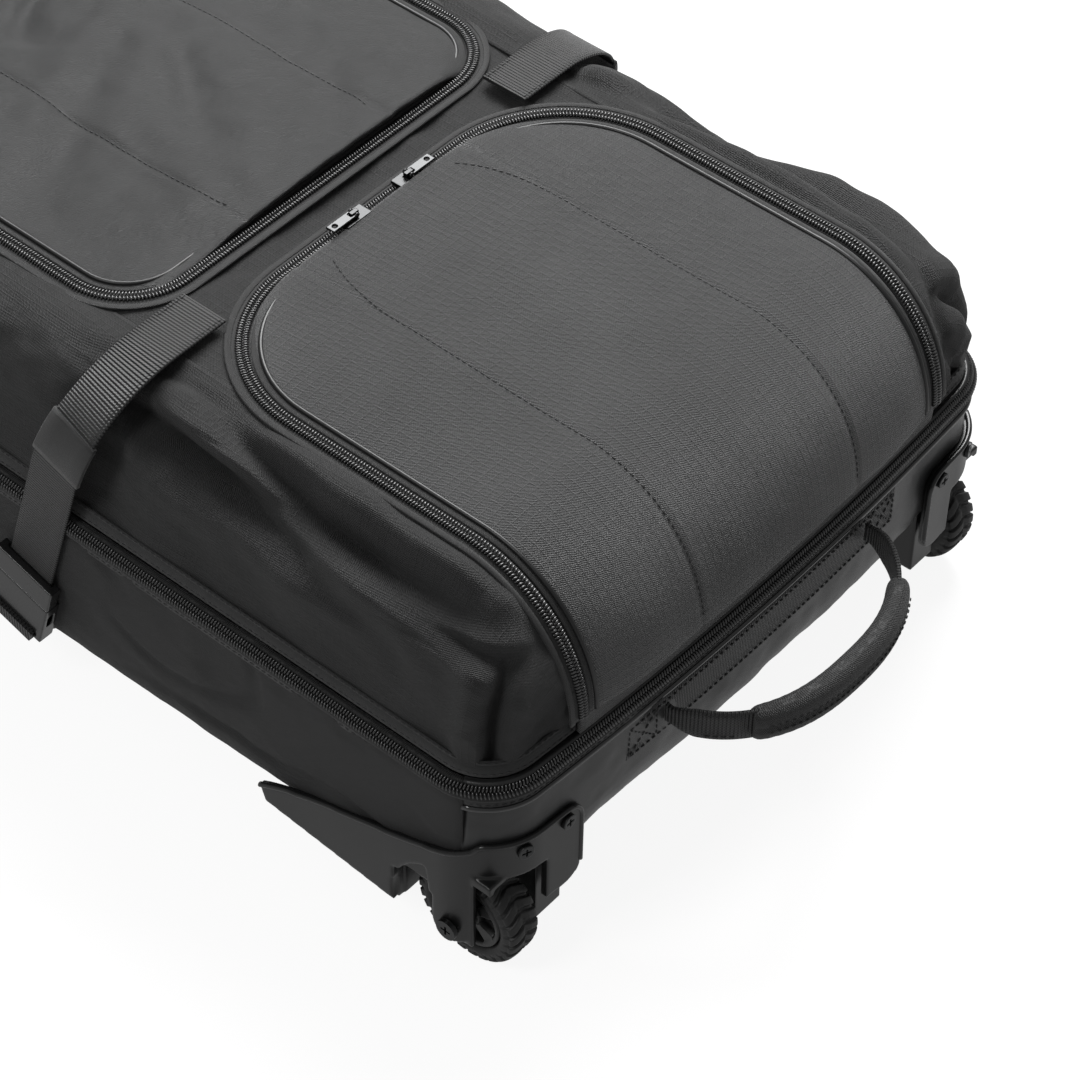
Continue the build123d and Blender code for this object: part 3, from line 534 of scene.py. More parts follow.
# ================================================================ stitching
def stitches(name, points, normals, body, length=3.2 * MM, gap=1.3 * MM, radius=0.45 * MM, lift=0.3 * MM):
    """A row of thread dashes lying along a line."""
    points, normals = np.asarray(points, float), np.asarray(normals, float)
    line, s = resample(points, 1 * MM)
    source = np.concatenate([[0], np.cumsum(np.linalg.norm(np.diff(points, axis=0), axis=1))])
    at = np.arange(gap, s[-1] - length, length + gap)[:, None] + np.array([0, 0.25, 0.75, 1.0]) * length
    place = np.stack([np.interp(at, s, line[:, k]) for k in range(3)], -1)
    normal = np.stack([np.interp(at, source, normals[:, k]) for k in range(3)], -1)
    along = np.gradient(place, axis=1)
    along /= np.linalg.norm(along, axis=-1, keepdims=True)
    across = np.cross(normal, along)
    arch = np.array([0.1, 1.0, 1.0, 0.1]) * radius
    angle = np.linspace(0, 2 * np.pi, 5)[:-1]
    ring = (
        across[:, :, None] * (arch[None, :, None] * np.cos(angle))[..., None]
        + normal[:, :, None] * (arch[None, :, None] * np.sin(angle))[..., None]
    )
    verts = (place + normal * lift)[:, :, None] + ring
    faces = grid_faces(4, 4, closed=True)
    offset = np.arange(len(at)) * 16
    faces = (faces[None] + offset[:, None, None]).reshape(-1, 4)
    verts = verts.reshape(-1, 3)
    return mesh_from(name, verts, faces, verts[:, :2], thread, body)


# ================================================================ soft shape
def soft_noise(points, scale, seed, octaves=3):
    """Smooth noise about zero at each point, with features of about 1/scale metres."""
    shift = Vector((seed * 3.1, seed * 1.7, seed * 2.3))
    flat = points.reshape(-1, 3) * scale
    values = [noise.fractal(Vector(p) + shift, 0.8, 2.1, octaves) for p in flat]
    return np.array(values).reshape(points.shape[:-1])


def creases(points, scale, seed):
    """Sharp valleys winding over the cloth: 0 on open cloth, up to 1 along a crease."""
    value = soft_noise(points, scale, seed, 2)
    return np.exp(-((value / 0.09) ** 2)) * np.clip(soft_noise(points, scale * 0.5, seed + 5) * 2 + 0.5, 0, 1)


def hollow(a, b, start, end, width):
    """1 along a line from start to end in (a, b), falling off over width."""
    start, end = np.array(start), np.array(end)
    run = end - start
    t = np.clip(((a - start[0]) * run[0] + (b - start[1]) * run[1]) / (run @ run), 0, 1)
    away = np.hypot(a - start[0] - t * run[0], b - start[1] - t * run[1])
    ends = np.sin(np.pi * np.clip(t, 0.02, 0.98)) ** 0.5
    return np.exp(-((away / width) ** 2)) * ends


def edge_fade(a, low, high, reach):
    """0 at both ends of a range and 1 further in than reach."""
    return np.clip((a - low) / reach, 0, 1) * np.clip((high - a) / reach, 0, 1)


# ---------------------------------------------------------------- flaps
def pocket_half(y):
    """Half width of the pocket flap's chain line at y."""
    past = np.clip(y - (pocket_head - pocket_corner), 0, pocket_corner)
    return flap_half - pocket_corner + np.sqrt(pocket_corner**2 - past**2)


def main_half(y):
    """Half width of the main flap's chain line at y."""
    before = np.clip(main_front + main_corner - y, 0, main_corner)
    return flap_half - main_corner + np.sqrt(main_corner**2 - before**2)


flap_gap = 5.5 * MM
hinge_half = 9 * MM  # half the length of the cloth strip over the line where the main flap folds back
foot_q = np.interp(pocket_foot, ridge_line[:40, 1], ridge_q[:40])
head_q = ridge_of(pocket_head)
front_q = ridge_of(main_front)
back_q = ridge_of(main_back)


def flap_grid(low_q, high_q, half_at, rows, cols, inset, crown, mid):
    """Grid over a flap: across x, along q, raised in a crown towards its middle line."""
    q = np.linspace(low_q, high_q, rows)[:, None]
    t = np.linspace(-1, 1, cols)[None, :]
    y = np.interp(q, ridge_q, ridge_line[:, 0])
    x = t * np.maximum(half_at(y) - inset, 5 * MM)
    from_side = (1 - np.abs(t)) * (half_at(y) - inset)
    from_end = np.abs(high_q - q) * mid[1] + np.abs(q - low_q) * mid[0]
    edge = np.minimum(from_side, from_end)
    rise = crown * (1 - np.exp(-edge / (22 * MM)))
    return x, np.broadcast_to(q, x.shape), rise


def pocket_flap():
    inset = flap_gap - 2 * MM
    x, q, rise = flap_grid(foot_q, head_q - inset, pocket_half, 220, 200, inset, 6 * MM, (4, 1))
    base, _ = lid_at(x, q)
    rise = rise + 1.6 * MM * soft_noise(base, 9, 1) * np.clip(rise / (6 * MM), 0, 1)
    for stitch in (-66 * MM, 75 * MM):
        rise = rise - 0.8 * MM * np.exp(-(((x - stitch) / (2.0 * MM)) ** 2))
    points, _ = lid_at(x, q, rise)
    uv = np.stack([x, q], -1)
    for number, stitch in enumerate((-66 * MM, 75 * MM)):
        column = np.argmin(np.abs(x[5] - stitch))
        line = points[4:-6, column]
        stitches(f"pocket_stitch_{number}", line, surface_normals(points)[4:-6, column], "pocket_flap")
    return sheet("pocket_flap_cloth", points, uv, pocket_cloth_painted_highlight, "pocket_flap", ["pocket_flap"])


def main_flap():
    inset = flap_gap - 2 * MM
    x, q, rise = flap_grid(front_q + inset, back_q - hinge_half, main_half, 420, 120, inset, 7 * MM, (1, 1))
    base, _ = lid_at(x, q)
    soft = np.clip(rise / (7 * MM), 0, 1)
    rise = rise + soft * (7 * MM * soft_noise(base, 6, 2, 4))
    rise = rise - soft * 6 * MM * creases(base, 6, 31)
    y = base[..., 1]
    rise = rise - soft * 5 * MM * hollow(x, y, (-0.15, -0.38), (0.02, -0.30), 16 * MM)
    rise = rise - soft * 4 * MM * hollow(x, y, (-0.05, -0.45), (0.10, -0.22), 14 * MM)
    rise = rise + soft * 4 * MM * hollow(x, y, (-0.13, -0.33), (-0.02, -0.12), 20 * MM)
    for stitch in (-62 * MM, 62 * MM):
        rise = rise - 0.9 * MM * np.exp(-(((x - stitch) / (2.2 * MM)) ** 2))
    points, _ = lid_at(x, q, rise)
    uv = np.stack([x, q], -1)
    for number, stitch in enumerate((-62 * MM, 62 * MM)):
        column = np.argmin(np.abs(x[200] - stitch))
        line = points[6:-6, column]
        stitches(f"main_stitch_{number}", line, surface_normals(points)[6:-6, column], "main_flap")
    return sheet("main_flap_cloth", points, uv, main_cloth, "main_flap", ["main_flap"])


def main_hinge():
    """Cloth strip over the line where the main flap folds back."""
    x = np.linspace(-flap_half + 5 * MM, flap_half - 5 * MM, 90)[None, :]
    q = np.linspace(back_q - hinge_half - 2 * MM, back_q + hinge_half + 2 * MM, 30)[:, None]
    x, q = np.broadcast_arrays(x, q)
    points, _ = lid_at(x, q, 0.4 * MM)
    strip = sheet("main_flap_hinge_cloth", points, np.stack([x, q], -1), main_cloth, None, thickness=1.2 * MM)
    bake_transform(strip)


def cross_band():
    """Cloth between the two flaps."""
    x = np.linspace(-flap_half - 2 * MM, flap_half + 2 * MM, 160)[:, None]
    v = np.linspace(0, 1, 40)[None, :]
    past = np.clip(np.abs(x) - (flap_half - pocket_corner), 0, pocket_corner)
    low = pocket_head - pocket_corner + np.sqrt(pocket_corner**2 - past**2)
    over = np.clip(np.abs(x) - (flap_half - main_corner), 0, main_corner)
    high = main_front + main_corner - np.sqrt(main_corner**2 - over**2)
    y = low + (high - low) * v
    x = np.broadcast_to(x, y.shape)
    sag = -4 * MM * np.sin(np.pi * v) * np.clip(1 - np.abs(x) / 0.16, 0.15, 1)
    ripple = 2.5 * MM * soft_noise(np.stack([x, y, 0 * x], -1), 22, 5) * np.sin(np.pi * v)
    points, _ = lid_at(x, ridge_of(y), sag + ripple)
    uv = np.stack([x, y], -1)
    return sheet("lid_cross_band_cloth", points, uv, gusset_cloth, "lid", ["lid_cross_band"])


def head_panel():
    """Lid cloth from the main flap's hinge over the crown to the head end."""
    q = np.linspace(back_q + hinge_half, ridge_q[-1], 90)[:, None]
    x = np.linspace(-flap_half, flap_half, 90)[None, :]
    x, q = np.broadcast_arrays(x, q)
    base, _ = lid_at(x, q)
    points, _ = lid_at(x, q, 2 * MM * soft_noise(base, 10, 9) * edge_fade(x, -flap_half, flap_half, 30 * MM))
    uv = np.stack([x, q], -1)
    return sheet("lid_head_cloth", points, uv, gusset_cloth, "lid", ["lid_head_panel"])


def end_strip():
    """Strip of lid cloth under the pocket flap's foot."""
    q = np.linspace(0, foot_q - 1 * MM, 8)[:, None]
    x = np.linspace(-flap_half, flap_half, 60)[None, :]
    x, q = np.broadcast_arrays(x, q)
    points, _ = lid_at(x, q, 0.6 * MM * np.sin(np.pi * q / foot_q))
    uv = np.stack([x, q], -1)
    return sheet("lid_end_strip_cloth", points, uv, pocket_cloth_painted_highlight, "lid", ["lid_end_strip"])


# ---------------------------------------------------------------- lid sides
def gusset(side):
    """The lid's side cloth: bulges from the perimeter zip up to the flaps' zips, round both corners."""
    rows_end, rows_side = 110, 520
    nose_q = ridge_of(corner_y)
    crown_q = ridge_of(head_end - corner_radius)
    start_s = plan_distance(-flap_half, wheel_end - bow)
    side_s = plan_distance(-half_width, corner_y)
    corner_s = side_s + 30 * MM
    far_s = plan_distance(-half_width, head_end - corner_radius)
    end_s = plan_distance(-flap_half, head_end)
    foot_s = np.concatenate([
        np.linspace(start_s, side_s, rows_end, endpoint=False),
        np.linspace(side_s, far_s, rows_side, endpoint=False),
        np.linspace(far_s, end_s, rows_end),
    ])
    top_q = np.concatenate([
        np.linspace(foot_q - 6 * MM, nose_q, rows_end, endpoint=False),
        np.linspace(nose_q, crown_q, rows_side, endpoint=False),
        np.linspace(crown_q, ridge_q[-1], rows_end),
    ])
    place, out = plan_at(foot_s)
    foot = place - 5 * MM * out
    low = np.stack([foot[:, 0], foot[:, 1], np.full(len(place), lid_side_low)], 1)
    low_out = np.stack([out[:, 0], out[:, 1], np.zeros(len(out))], 1)
    top, top_out = lid_at(np.full(len(top_q), -flap_half), top_q)
    height = np.linalg.norm(top - low, axis=1)[:, None]
    up = np.array([[0, 0, 1.0]])
    lean = low + 0.55 * height * up - 0.02 * height * low_out
    over = top + 0.42 * height * np.array([[-1.0, 0, 0]]) + 0.03 * height * top_out
    t = np.linspace(0, 1, 90)[None, :, None]
    points = (
        (1 - t) ** 3 * low[:, None] + 3 * (1 - t) ** 2 * t * lean[:, None]
        + 3 * (1 - t) * t**2 * over[:, None] + t**3 * top[:, None]
    )
    normal = surface_normals(points)
    y = points[..., 1]
    t = np.broadcast_to(t[..., 0], y.shape)
    fade = np.clip(t / 0.12, 0, 1) * np.clip((1 - t) / 0.10, 0, 1)
    seed = 11 if side < 0 else 17
    lift = 7 * MM * soft_noise(points * (1, 0.55, 1), 10, seed, 4)
    lift = lift - 6.5 * MM * creases(points * (1, 0.5, 1), 8, seed + 1)
    run = np.interp(y, [wheel_end, wheel_end + 1], [0, 1])
    lift = lift - 12 * MM * hollow(run, t, (0.27, 0.95), (0.10, 0.60), 0.035 + 0 * t)
    lift = lift + 9 * MM * hollow(run, t, (0.24, 0.72), (0.06, 0.45), 0.05 + 0 * t)
    lift = lift - 9 * MM * hollow(run, t, (0.30, 0.70), (0.16, 0.42), 0.03 + 0 * t)
    lift = lift - 7 * MM * np.exp(-(((y - (wheel_end + 0.30)) / 0.02) ** 2))
    lift = lift - 5 * MM * np.exp(-(((y - (wheel_end + 1.32)) / 0.025) ** 2))
    near = np.clip((run - 0.02) / 0.05, 0, 1) * np.clip((0.31 - run) / 0.05, 0, 1)
    valley = 0.74 - 0.7 * np.clip(run, 0, 0.3)
    lift = lift + 7 * MM * near * np.exp(-(((t - 0.87) / 0.07) ** 2))
    lift = lift - (7 * MM + 36 * MM * np.clip(run, 0, 0.3)) * near * np.exp(-(((t - valley) / 0.10) ** 2))
    lift = lift + 6 * MM * near * np.exp(-(((t - valley + 0.27) / 0.12) ** 2))
    along = foot_s[:, None] - (corner_s - 8 * MM * t)
    low_part = np.clip((0.75 - t) / 0.25, 0, 1)
    lift = lift - 10 * MM * np.exp(-((along / (5 * MM)) ** 2)) * low_part
    lift = lift + 6 * MM * np.exp(-(((along + 16 * MM) / (11 * MM)) ** 2)) * low_part
    lift = lift + 3 * MM * np.exp(-(((along - 14 * MM) / (9 * MM)) ** 2)) * low_part
    points = points + normal * (lift * fade)[..., None]
    reach = np.sum((points - low[:, None]) * low_out[:, None], axis=-1) - 4 * MM
    limit = -4.2 * MM + 8 * MM * np.clip((points[..., 2] - lid_side_low) / (70 * MM), 0, 1)
    points = points - low_out[:, None] * np.maximum(reach - limit, 0)[..., None]
    if side > 0:
        points[..., 0] *= -1
    across = np.concatenate([[0], np.cumsum(np.linalg.norm(np.diff(points[400], axis=0), axis=1))])
    along = foot_s - foot_s[0]
    uv = np.stack(np.broadcast_arrays(along[:, None], across[None, :]), -1)
    word = "left" if side < 0 else "right"
    name = f"lid_side_{word}_cloth"
    return sheet(name, points, uv, gusset_cloth, "lid", [f"lid_side_{word}"])


pocket_flap()
main_flap()
main_hinge()
cross_band()
head_panel()
end_strip()
gusset(-1)
gusset(1)


# ================================================================ tray cloth
belly_rise = 38 * MM
belly_down = 450 * MM
belly_edge = 30 * MM


def belly(y):
    """Height of the underside at y."""
    fall = (belly_down - y) / (belly_down - (wheel_end - bow))
    return belly_rise * np.clip(fall, 0, 1)


def tray_wall(name, s_values, material, nodes, seed, puff):
    """Wall hanging from the perimeter zip, turning under the bag at its lower edge."""
    place, out = plan_at(s_values)
    under = belly(place[:, 1])
    toe = np.clip(-out[:, 1], 0, 1)
    radius = belly_edge + toe * 30 * MM
    rows = []
    levels = np.linspace(0, 1, 50)
    turns = np.linspace(0, math.pi / 2, 16)
    top = seam - 0.5 * MM
    for level in levels:
        z = top + (under + radius - top) * level
        rows.append((np.zeros_like(z), z))
    for turn in turns[1:]:
        rows.append((radius * (1 - math.cos(turn)), under + radius * (1 - math.sin(turn))))
    rows.append((radius + 14 * MM, under + 0.2 * MM))
    inward = np.stack([r[0] for r in rows], 1)
    height = np.stack([r[1] for r in rows], 1)
    points = np.stack([
        place[:, None, 0] - out[:, None, 0] * inward,
        place[:, None, 1] - out[:, None, 1] * inward,
        height,
    ], -1)
    down = np.clip((top - height) / (top - 0.05), 0, 1.3)
    fade = np.clip(down / 0.15, 0, 1) * np.clip((height - under[:, None]) / (25 * MM), 0, 1)
    lift = puff * np.sin(np.pi * np.clip(down, 0, 1)) + 2.6 * MM * soft_noise(points, 11, seed, 4)
    lift = lift - 2.5 * MM * creases(points * (1, 0.7, 1.3), 8, seed + 3) * (puff > 1.5 * MM)
    lift = np.minimum(lift, 2.6 * MM)
    level_out = np.stack([out[:, None, 0], out[:, None, 1], 0 * out[:, None, 0]], -1)
    points = points + level_out * (lift * fade)[..., None]
    spans = np.linalg.norm(np.diff(points[len(points) // 2], axis=0), axis=1)
    steps = np.concatenate([[0], np.cumsum(spans)])
    uv = np.stack(np.broadcast_arrays(s_values[:, None], steps[None, :]), -1)
    return sheet(name, points, uv, material, "tray", nodes, thickness=4 * MM)


end_seam = wheel_end + 20 * MM
left_seam_s = plan_distance(-half_width, end_seam)
right_seam_s = plan_length - left_seam_s
head_seam_s = plan_distance(-half_width + 32 * MM, head_end)
wheel_end_run = np.arange(left_seam_s, right_seam_s, 4 * MM)
tray_wall("wheel_end_cloth", wheel_end_run, coated_cloth, ["wheel_end_panel"], 21, 1 * MM)
left_run = np.arange(head_seam_s, left_seam_s + 2 * MM, 5 * MM)
tray_wall("side_left_cloth", left_run, side_cloth, ["side_panel_left"], 22, 3 * MM)
right_run = np.arange(right_seam_s - 2 * MM, plan_length - head_seam_s, 5 * MM)
tray_wall("side_right_cloth", right_run, side_cloth, ["side_panel_right"], 23, 3 * MM)


def head_wall():
    """Head end wall between the two side walls."""
    run = np.concatenate([
        np.arange(plan_length - head_seam_s - 4 * MM, plan_length, 5 * MM),
        np.arange(0, head_seam_s + 4 * MM, 5 * MM),
    ])
    return tray_wall("head_end_cloth", run, side_cloth, ["head_end_panel"], 24, 3 * MM)


head_wall()


def bottom():
    y = np.linspace(wheel_end + 40 * MM, head_end - 30 * MM, 200)[:, None]
    x = np.linspace(-half_width + belly_edge - 4 * MM, half_width - belly_edge + 4 * MM, 50)[None, :]
    y, x = np.broadcast_arrays(y, x)
    points = np.stack([x, y, belly(y) + 0.6 * MM], -1)
    uv = np.stack([y, x], -1)
    return sheet("bottom_cloth", points, uv, coated_cloth, "tray", ["bottom_panel"], thickness=3 * MM)


bottom()


# ================================================================ zips
def coil(name, points, normals, body, pitch=2.0 * MM):
    """Two rows of nylon coil turns, each a small slanted bead, meeting in the chain's middle."""
    points, s = resample(points, 1 * MM)
    normals = np.asarray(normals, float)
    source = np.linspace(0, s[-1], len(normals))
    count = int(s[-1] / pitch)
    centres = (np.arange(count) + 0.5) * pitch
    ring = 6
    tips = np.array([-1.0, -0.62, 0.0, 0.62, 1.0])
    girth = np.array([0.25, 0.85, 1.0, 0.9, 0.3])
    angle = np.linspace(0, 2 * np.pi, ring, endpoint=False)
    shape = np.array([
        (2.1 * MM * tip, 0.8 * MM * g * math.cos(a), 1.3 * MM * g * math.sin(a))
        for tip, g in zip(tips, girth) for a in angle
    ])
    body_faces = grid_faces(len(tips), ring, closed=True)
    all_verts, all_faces = [], []
    for row, side in enumerate((-1, 1)):
        at = centres + row * pitch / 2
        place = np.stack([np.interp(at, s, points[:, k]) for k in range(3)], 1)
        ahead = np.stack([np.interp(at + 1 * MM, s, points[:, k]) for k in range(3)], 1)
        along = ahead - np.stack([np.interp(at - 1 * MM, s, points[:, k]) for k in range(3)], 1)
        along /= np.linalg.norm(along, axis=1)[:, None]
        normal = np.stack([np.interp(at, source, normals[:, k]) for k in range(3)], 1)
        across = np.cross(normal, along)
        centre = place + side * 1.85 * MM * across + 2.2 * MM * normal
        slant = 0.18 * side
        verts = (
            centre[:, None]
            + across[:, None] * shape[None, :, :1]
            + along[:, None] * (shape[None, :, 1:2] + slant * shape[None, :, :1])
            + normal[:, None] * shape[None, :, 2:]
        )
        offset = (row * count + np.arange(count)) * len(shape)
        all_verts.append(verts.reshape(-1, 3))
        all_faces.append((body_faces[None] + offset[:, None, None]).reshape(-1, 4))
    verts = np.concatenate(all_verts)
    return mesh_from(name, verts, np.concatenate(all_faces), verts[:, :2], coil_nylon, body)


def level_run(s_low, s_high, z, tilt=0, inset=0.0, step=4 * MM):
    """Points and normals round the bag at a height, between two distances, facing up by tilt degrees."""
    s = np.arange(s_low, s_high, step)
    place, out = plan_at(s)
    points = np.column_stack([place - inset * out, np.full(len(s), z)])
    tilt = math.radians(tilt)
    return points, np.column_stack([out * math.cos(tilt), np.full(len(s), math.sin(tilt))])


def perimeter_zip():
    """The big zip: tape, chain and hem on the tray, and a twill strip with two seams on the lid."""
    tail = plan_distance(-half_width, head_end - 70 * MM)
    ends = (tail, plan_length - tail)
    points, normals = level_run(*ends, zip_z, tilt=38, inset=-0.6 * MM)
    wide = band_profile(-6 * MM, 5.2 * MM, -0.6 * MM, 0.5 * MM)
    sweep("perimeter_tape_low", points, normals, wide, tape_cloth, "tray", ["perimeter_zip_tray_side"])
    core = band_profile(-2.6 * MM, 2.6 * MM, 0.3 * MM, 1.6 * MM)
    sweep("perimeter_core", points, normals, core, tape_cloth, "tray")
    coil("perimeter_coil", points, normals, "tray")
    points, normals = level_run(*ends, zip_z - 8 * MM)
    sweep("perimeter_hem_low", points, normals, band_profile(-5 * MM, 3 * MM, 0, 1.6 * MM), tape_cloth, "tray")
    stitches("perimeter_seam_low", points - (0, 0, 2.5 * MM), normals, "tray", lift=1.7 * MM)
    points, normals = level_run(*ends, seam + 1.2 * MM, tilt=14, inset=4.4 * MM)
    strip = band_profile(0, 11 * MM, 0.2 * MM, 1.5 * MM)
    sweep("perimeter_tape_high", points, normals, strip, tape_cloth, "lid", ["perimeter_zip_lid_side"])
    hem = points + normals * 1.2 * MM
    edge = band_profile(8.6 * MM, 11.4 * MM, 0, 1.2 * MM)
    sweep("perimeter_hem_high", hem, normals, edge, tape_cloth, "lid")
    across = np.cross(normals, np.gradient(points, axis=0))
    across /= np.linalg.norm(across, axis=1)[:, None]
    for row, place in enumerate((2.2 * MM, 10 * MM)):
        height = (0.4 + 1.0 * row) * MM
        stitches(f"perimeter_seam_high_{row}", hem + across * place, normals, "lid", lift=height)


def u_line(half, corner, edge_q, tail_q, sense):
    """Chain line of a flap in (x, q): a U with round corners at edge_q and open ends at tail_q."""
    centre_q = edge_q - sense * corner
    start = 180
    turn = arc((-half + corner, centre_q), corner, start, start - sense * 90, 20)
    left = np.concatenate([[(-half, tail_q)], turn])
    right = left[::-1] * (-1, 1)
    line, _ = resample(np.concatenate([left, right]), 3 * MM)
    return line


def on_lid(line, lift=0.0):
    points, normals = lid_at(line[:, 0], line[:, 1], lift)
    return points, normals


def flap_zip(word, line, body, inside):
    """Tapes, hems and coil round a flap; inside is -1 or 1, the side of the line the flap lies on."""
    points, normals = on_lid(line)
    low, high = sorted((-inside * tape_edge, inside * 4.5 * MM))
    fixed = band_profile(low, high, 0.3 * MM, 1.2 * MM)
    sweep(f"{word}_tape_fixed", points, normals, fixed, tape_cloth, "lid", [f"{word}_zip_lid_side"])
    low, high = sorted((-inside * (tape_edge + 1 * MM), -inside * (tape_edge - 3 * MM)))
    sweep(f"{word}_hem_fixed", points, normals, band_profile(low, high, 0, 1.8 * MM), tape_cloth, "lid")
    low, high = sorted((inside * 5 * MM, inside * 10 * MM))
    sweep(f"{word}_tape_flap", points, normals, band_profile(low, high, 0.6 * MM, 1.8 * MM), tape_cloth, body,
          [f"{word}_zip_flap_side"])
    core = band_profile(-2.6 * MM, 2.6 * MM, 0.8 * MM, 2.2 * MM)
    sweep(f"{word}_core", points, normals, core, tape_cloth, "lid")
    coil(f"{word}_coil", points, normals, "lid")
    place = inside * 10.5 * MM
    ring = ring_profile(place, 2.2 * MM, 1.5 * MM, 1.5 * MM, 8)
    sweep(f"{word}_piping", points, normals, ring, piping_vinyl, body)


perimeter_zip()
pocket_u = u_line(flap_half, pocket_corner, head_q, foot_q, 1)
flap_zip("pocket", pocket_u, "pocket_flap", -1)
main_u = u_line(flap_half, main_corner, front_q, ridge_of(main_back - 9 * MM), -1)
flap_zip("main", main_u, "main_flap", 1)


def end_piping():
    points, normals = level_run(left_seam_s, right_seam_s, zip_z - tape_edge - 5 * MM)
    ring = ring_profile(0, 1.4 * MM, 2.0 * MM, 2.0 * MM, 10)
    sweep("end_piping_bead", points, normals, ring, bead_vinyl, "tray", ["end_piping"])


end_piping()


# ================================================================ straps and buckles
strap_lean = 17.4  # degrees from upright, seen from the side
strap_tan = math.tan(math.radians(strap_lean))
strap_from_wheel_end = 302 * MM
strap_top_y = wheel_end + strap_from_wheel_end
rear_shift = 1010 * MM  # front pair of straps to rear pair
shoulder = 62 * MM
strap_low = 94 * MM


def strap_line(side, shift, start, lift):
    """A strap's path: across the top, round the shoulder, down over the zip to its buckle."""
    bend = shoulder + lift
    centre_x = half_width - shoulder
    down = arc((centre_x, lid_top - shoulder), bend, 90, 0, 30)
    flat = np.concatenate([[(start, lid_top + lift)], down, [(half_width + lift, strap_low)]])
    flat, _ = resample(flat, 3 * MM)
    y = strap_top_y + shift + (lid_top - flat[:, 1]) * strap_tan
    points = np.stack([side * flat[:, 0], y, flat[:, 1]], 1)
    run = np.gradient(flat, axis=0)
    run /= np.linalg.norm(run, axis=1)[:, None]
    normals = np.stack([-side * run[:, 1], 0 * y, run[:, 0]], 1)
    return points, normals


def straps():
    bands = []
    keepers = []
    for number, (side, shift, start) in enumerate([
        (-1, 0, 128 * MM), (1, 0, 128 * MM), (-1, rear_shift, 174 * MM), (1, rear_shift, 174 * MM),
    ]):
        points, normals = strap_line(side, shift, start, 4.4 * MM)
        wide = band_profile(-17 * MM, 17 * MM, -0.2 * MM, 1.7 * MM, steps=6)
        bands.append(sweep(f"strap_{number}", points, normals, wide, strap_cloth, "lid"))
        for edge in (-14.5 * MM, 14.5 * MM):
            across = np.cross(normals, np.gradient(points, axis=0))
            across /= np.linalg.norm(across, axis=1)[:, None]
            end = points[:9] + across[:9] * edge
            bands.append(stitches(f"strap_seam_{number}_{edge:.3f}", end, normals[:9], "lid", lift=1.9 * MM))
        chosen = (points[:, 2] > 206 * MM) & (points[:, 2] < 238 * MM)
        keeper = band_profile(-18.6 * MM, 18.6 * MM, -0.9 * MM, 2.4 * MM, steps=4)
        band = sweep(f"keeper_{number}", points[chosen], normals[chosen], keeper, elastic_cloth, "lid")
        keepers.append(band)
    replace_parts(join("strap_bands", bands), "strap_webbing")
    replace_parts(join("elastic_keepers", keepers), "strap_keepers")


straps()


def rounded_copy(node, name, material, body, voxel, passes=4):
    """A moulded or cast version of a CAD part: rebuilt on a fine grid and eased along every edge."""
    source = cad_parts[node]
    piece = bpy.data.objects.new(name, source.data.copy())
    bpy.context.scene.collection.objects.link(piece)
    piece.matrix_world = source.matrix_world.copy()
    piece.data.materials.clear()
    piece.data.materials.append(material)
    fine = piece.modifiers.new("grid", "REMESH")
    fine.mode = "VOXEL"
    fine.voxel_size = voxel
    fine.use_smooth_shade = True
    ease = piece.modifiers.new("ease", "SMOOTH")
    ease.factor = 0.5
    ease.iterations = passes
    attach(piece, body)
    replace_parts(piece, node)
    return piece


def inner_wall(node):
    """A stiffened inner wall of the lid, drawn in a little so that it stays behind the sagging cloth."""
    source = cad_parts[node]
    piece = bpy.data.objects.new(f"{node}_sheet", source.data.copy())
    bpy.context.scene.collection.objects.link(piece)
    low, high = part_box(node)
    middle = Vector(((low.x + high.x) / 2, (low.y + high.y) / 2, low.z))
    shrink = Matrix.Translation(middle) @ Matrix.Diagonal((0.93, 0.98, 0.93, 1)) @ Matrix.Translation(-middle)
    piece.data.transform(shrink)
    piece.data.materials.clear()
    piece.data.materials.append(lining_cloth)
    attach(piece, "lid")
    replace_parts(piece, node)


inner_wall("lid_divider")
inner_wall("pocket_bulkhead")
rounded_copy("buckle_sockets", "buckle_socket_shells", buckle_plastic, "tray", 0.6 * MM, 12)
for where in ("front_left", "front_right", "rear_left", "rear_right"):
    shell = f"buckle_plug_shell_{where}"
    rounded_copy(f"buckle_plug_{where}", shell, buckle_plastic, f"plug_{where}", 0.5 * MM, 14)
for where in ("perimeter_{}_front", "perimeter_{}_rear", "main_{}_front", "main_{}_rear", "pocket_{}_left",
              "pocket_{}_right"):
    slider = where.format("slider")
    pull = where.format("pull")
    rounded_copy(slider, f"{slider}_body", slider_metal, slider, 0.3 * MM, 3)
    rounded_copy(pull, f"{pull}_tab", pull_metal, pull, 0.3 * MM, 3)


# ================================================================ handles
def handle_line(sense, face_y):
    """Plan line of a handle from face_y, bowing away from the bag; sense is -1 at the wheel end."""
    span = 92 * MM
    reach = 56 * MM
    x = span * np.sin(np.linspace(-math.pi / 2, math.pi / 2, 160))
    out = reach * (1 - np.abs(x / span) ** 2.5) ** 0.617
    out[[0, -1]] = -3.3 * MM  # the tails start at the patch, just inside the joint
    points = np.stack([x, face_y + sense * out, np.full(160, handle_z)], 1)
    points, _ = resample(points, 2 * MM)
    along = np.gradient(points, axis=0)
    along /= np.linalg.norm(along, axis=1)[:, None]
    normals = np.stack([along[:, 1], -along[:, 0], 0 * along[:, 0]], 1)
    return points, -sense * normals


handle_z = (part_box("end_handle_grip")[0].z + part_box("end_handle_grip")[1].z) / 2


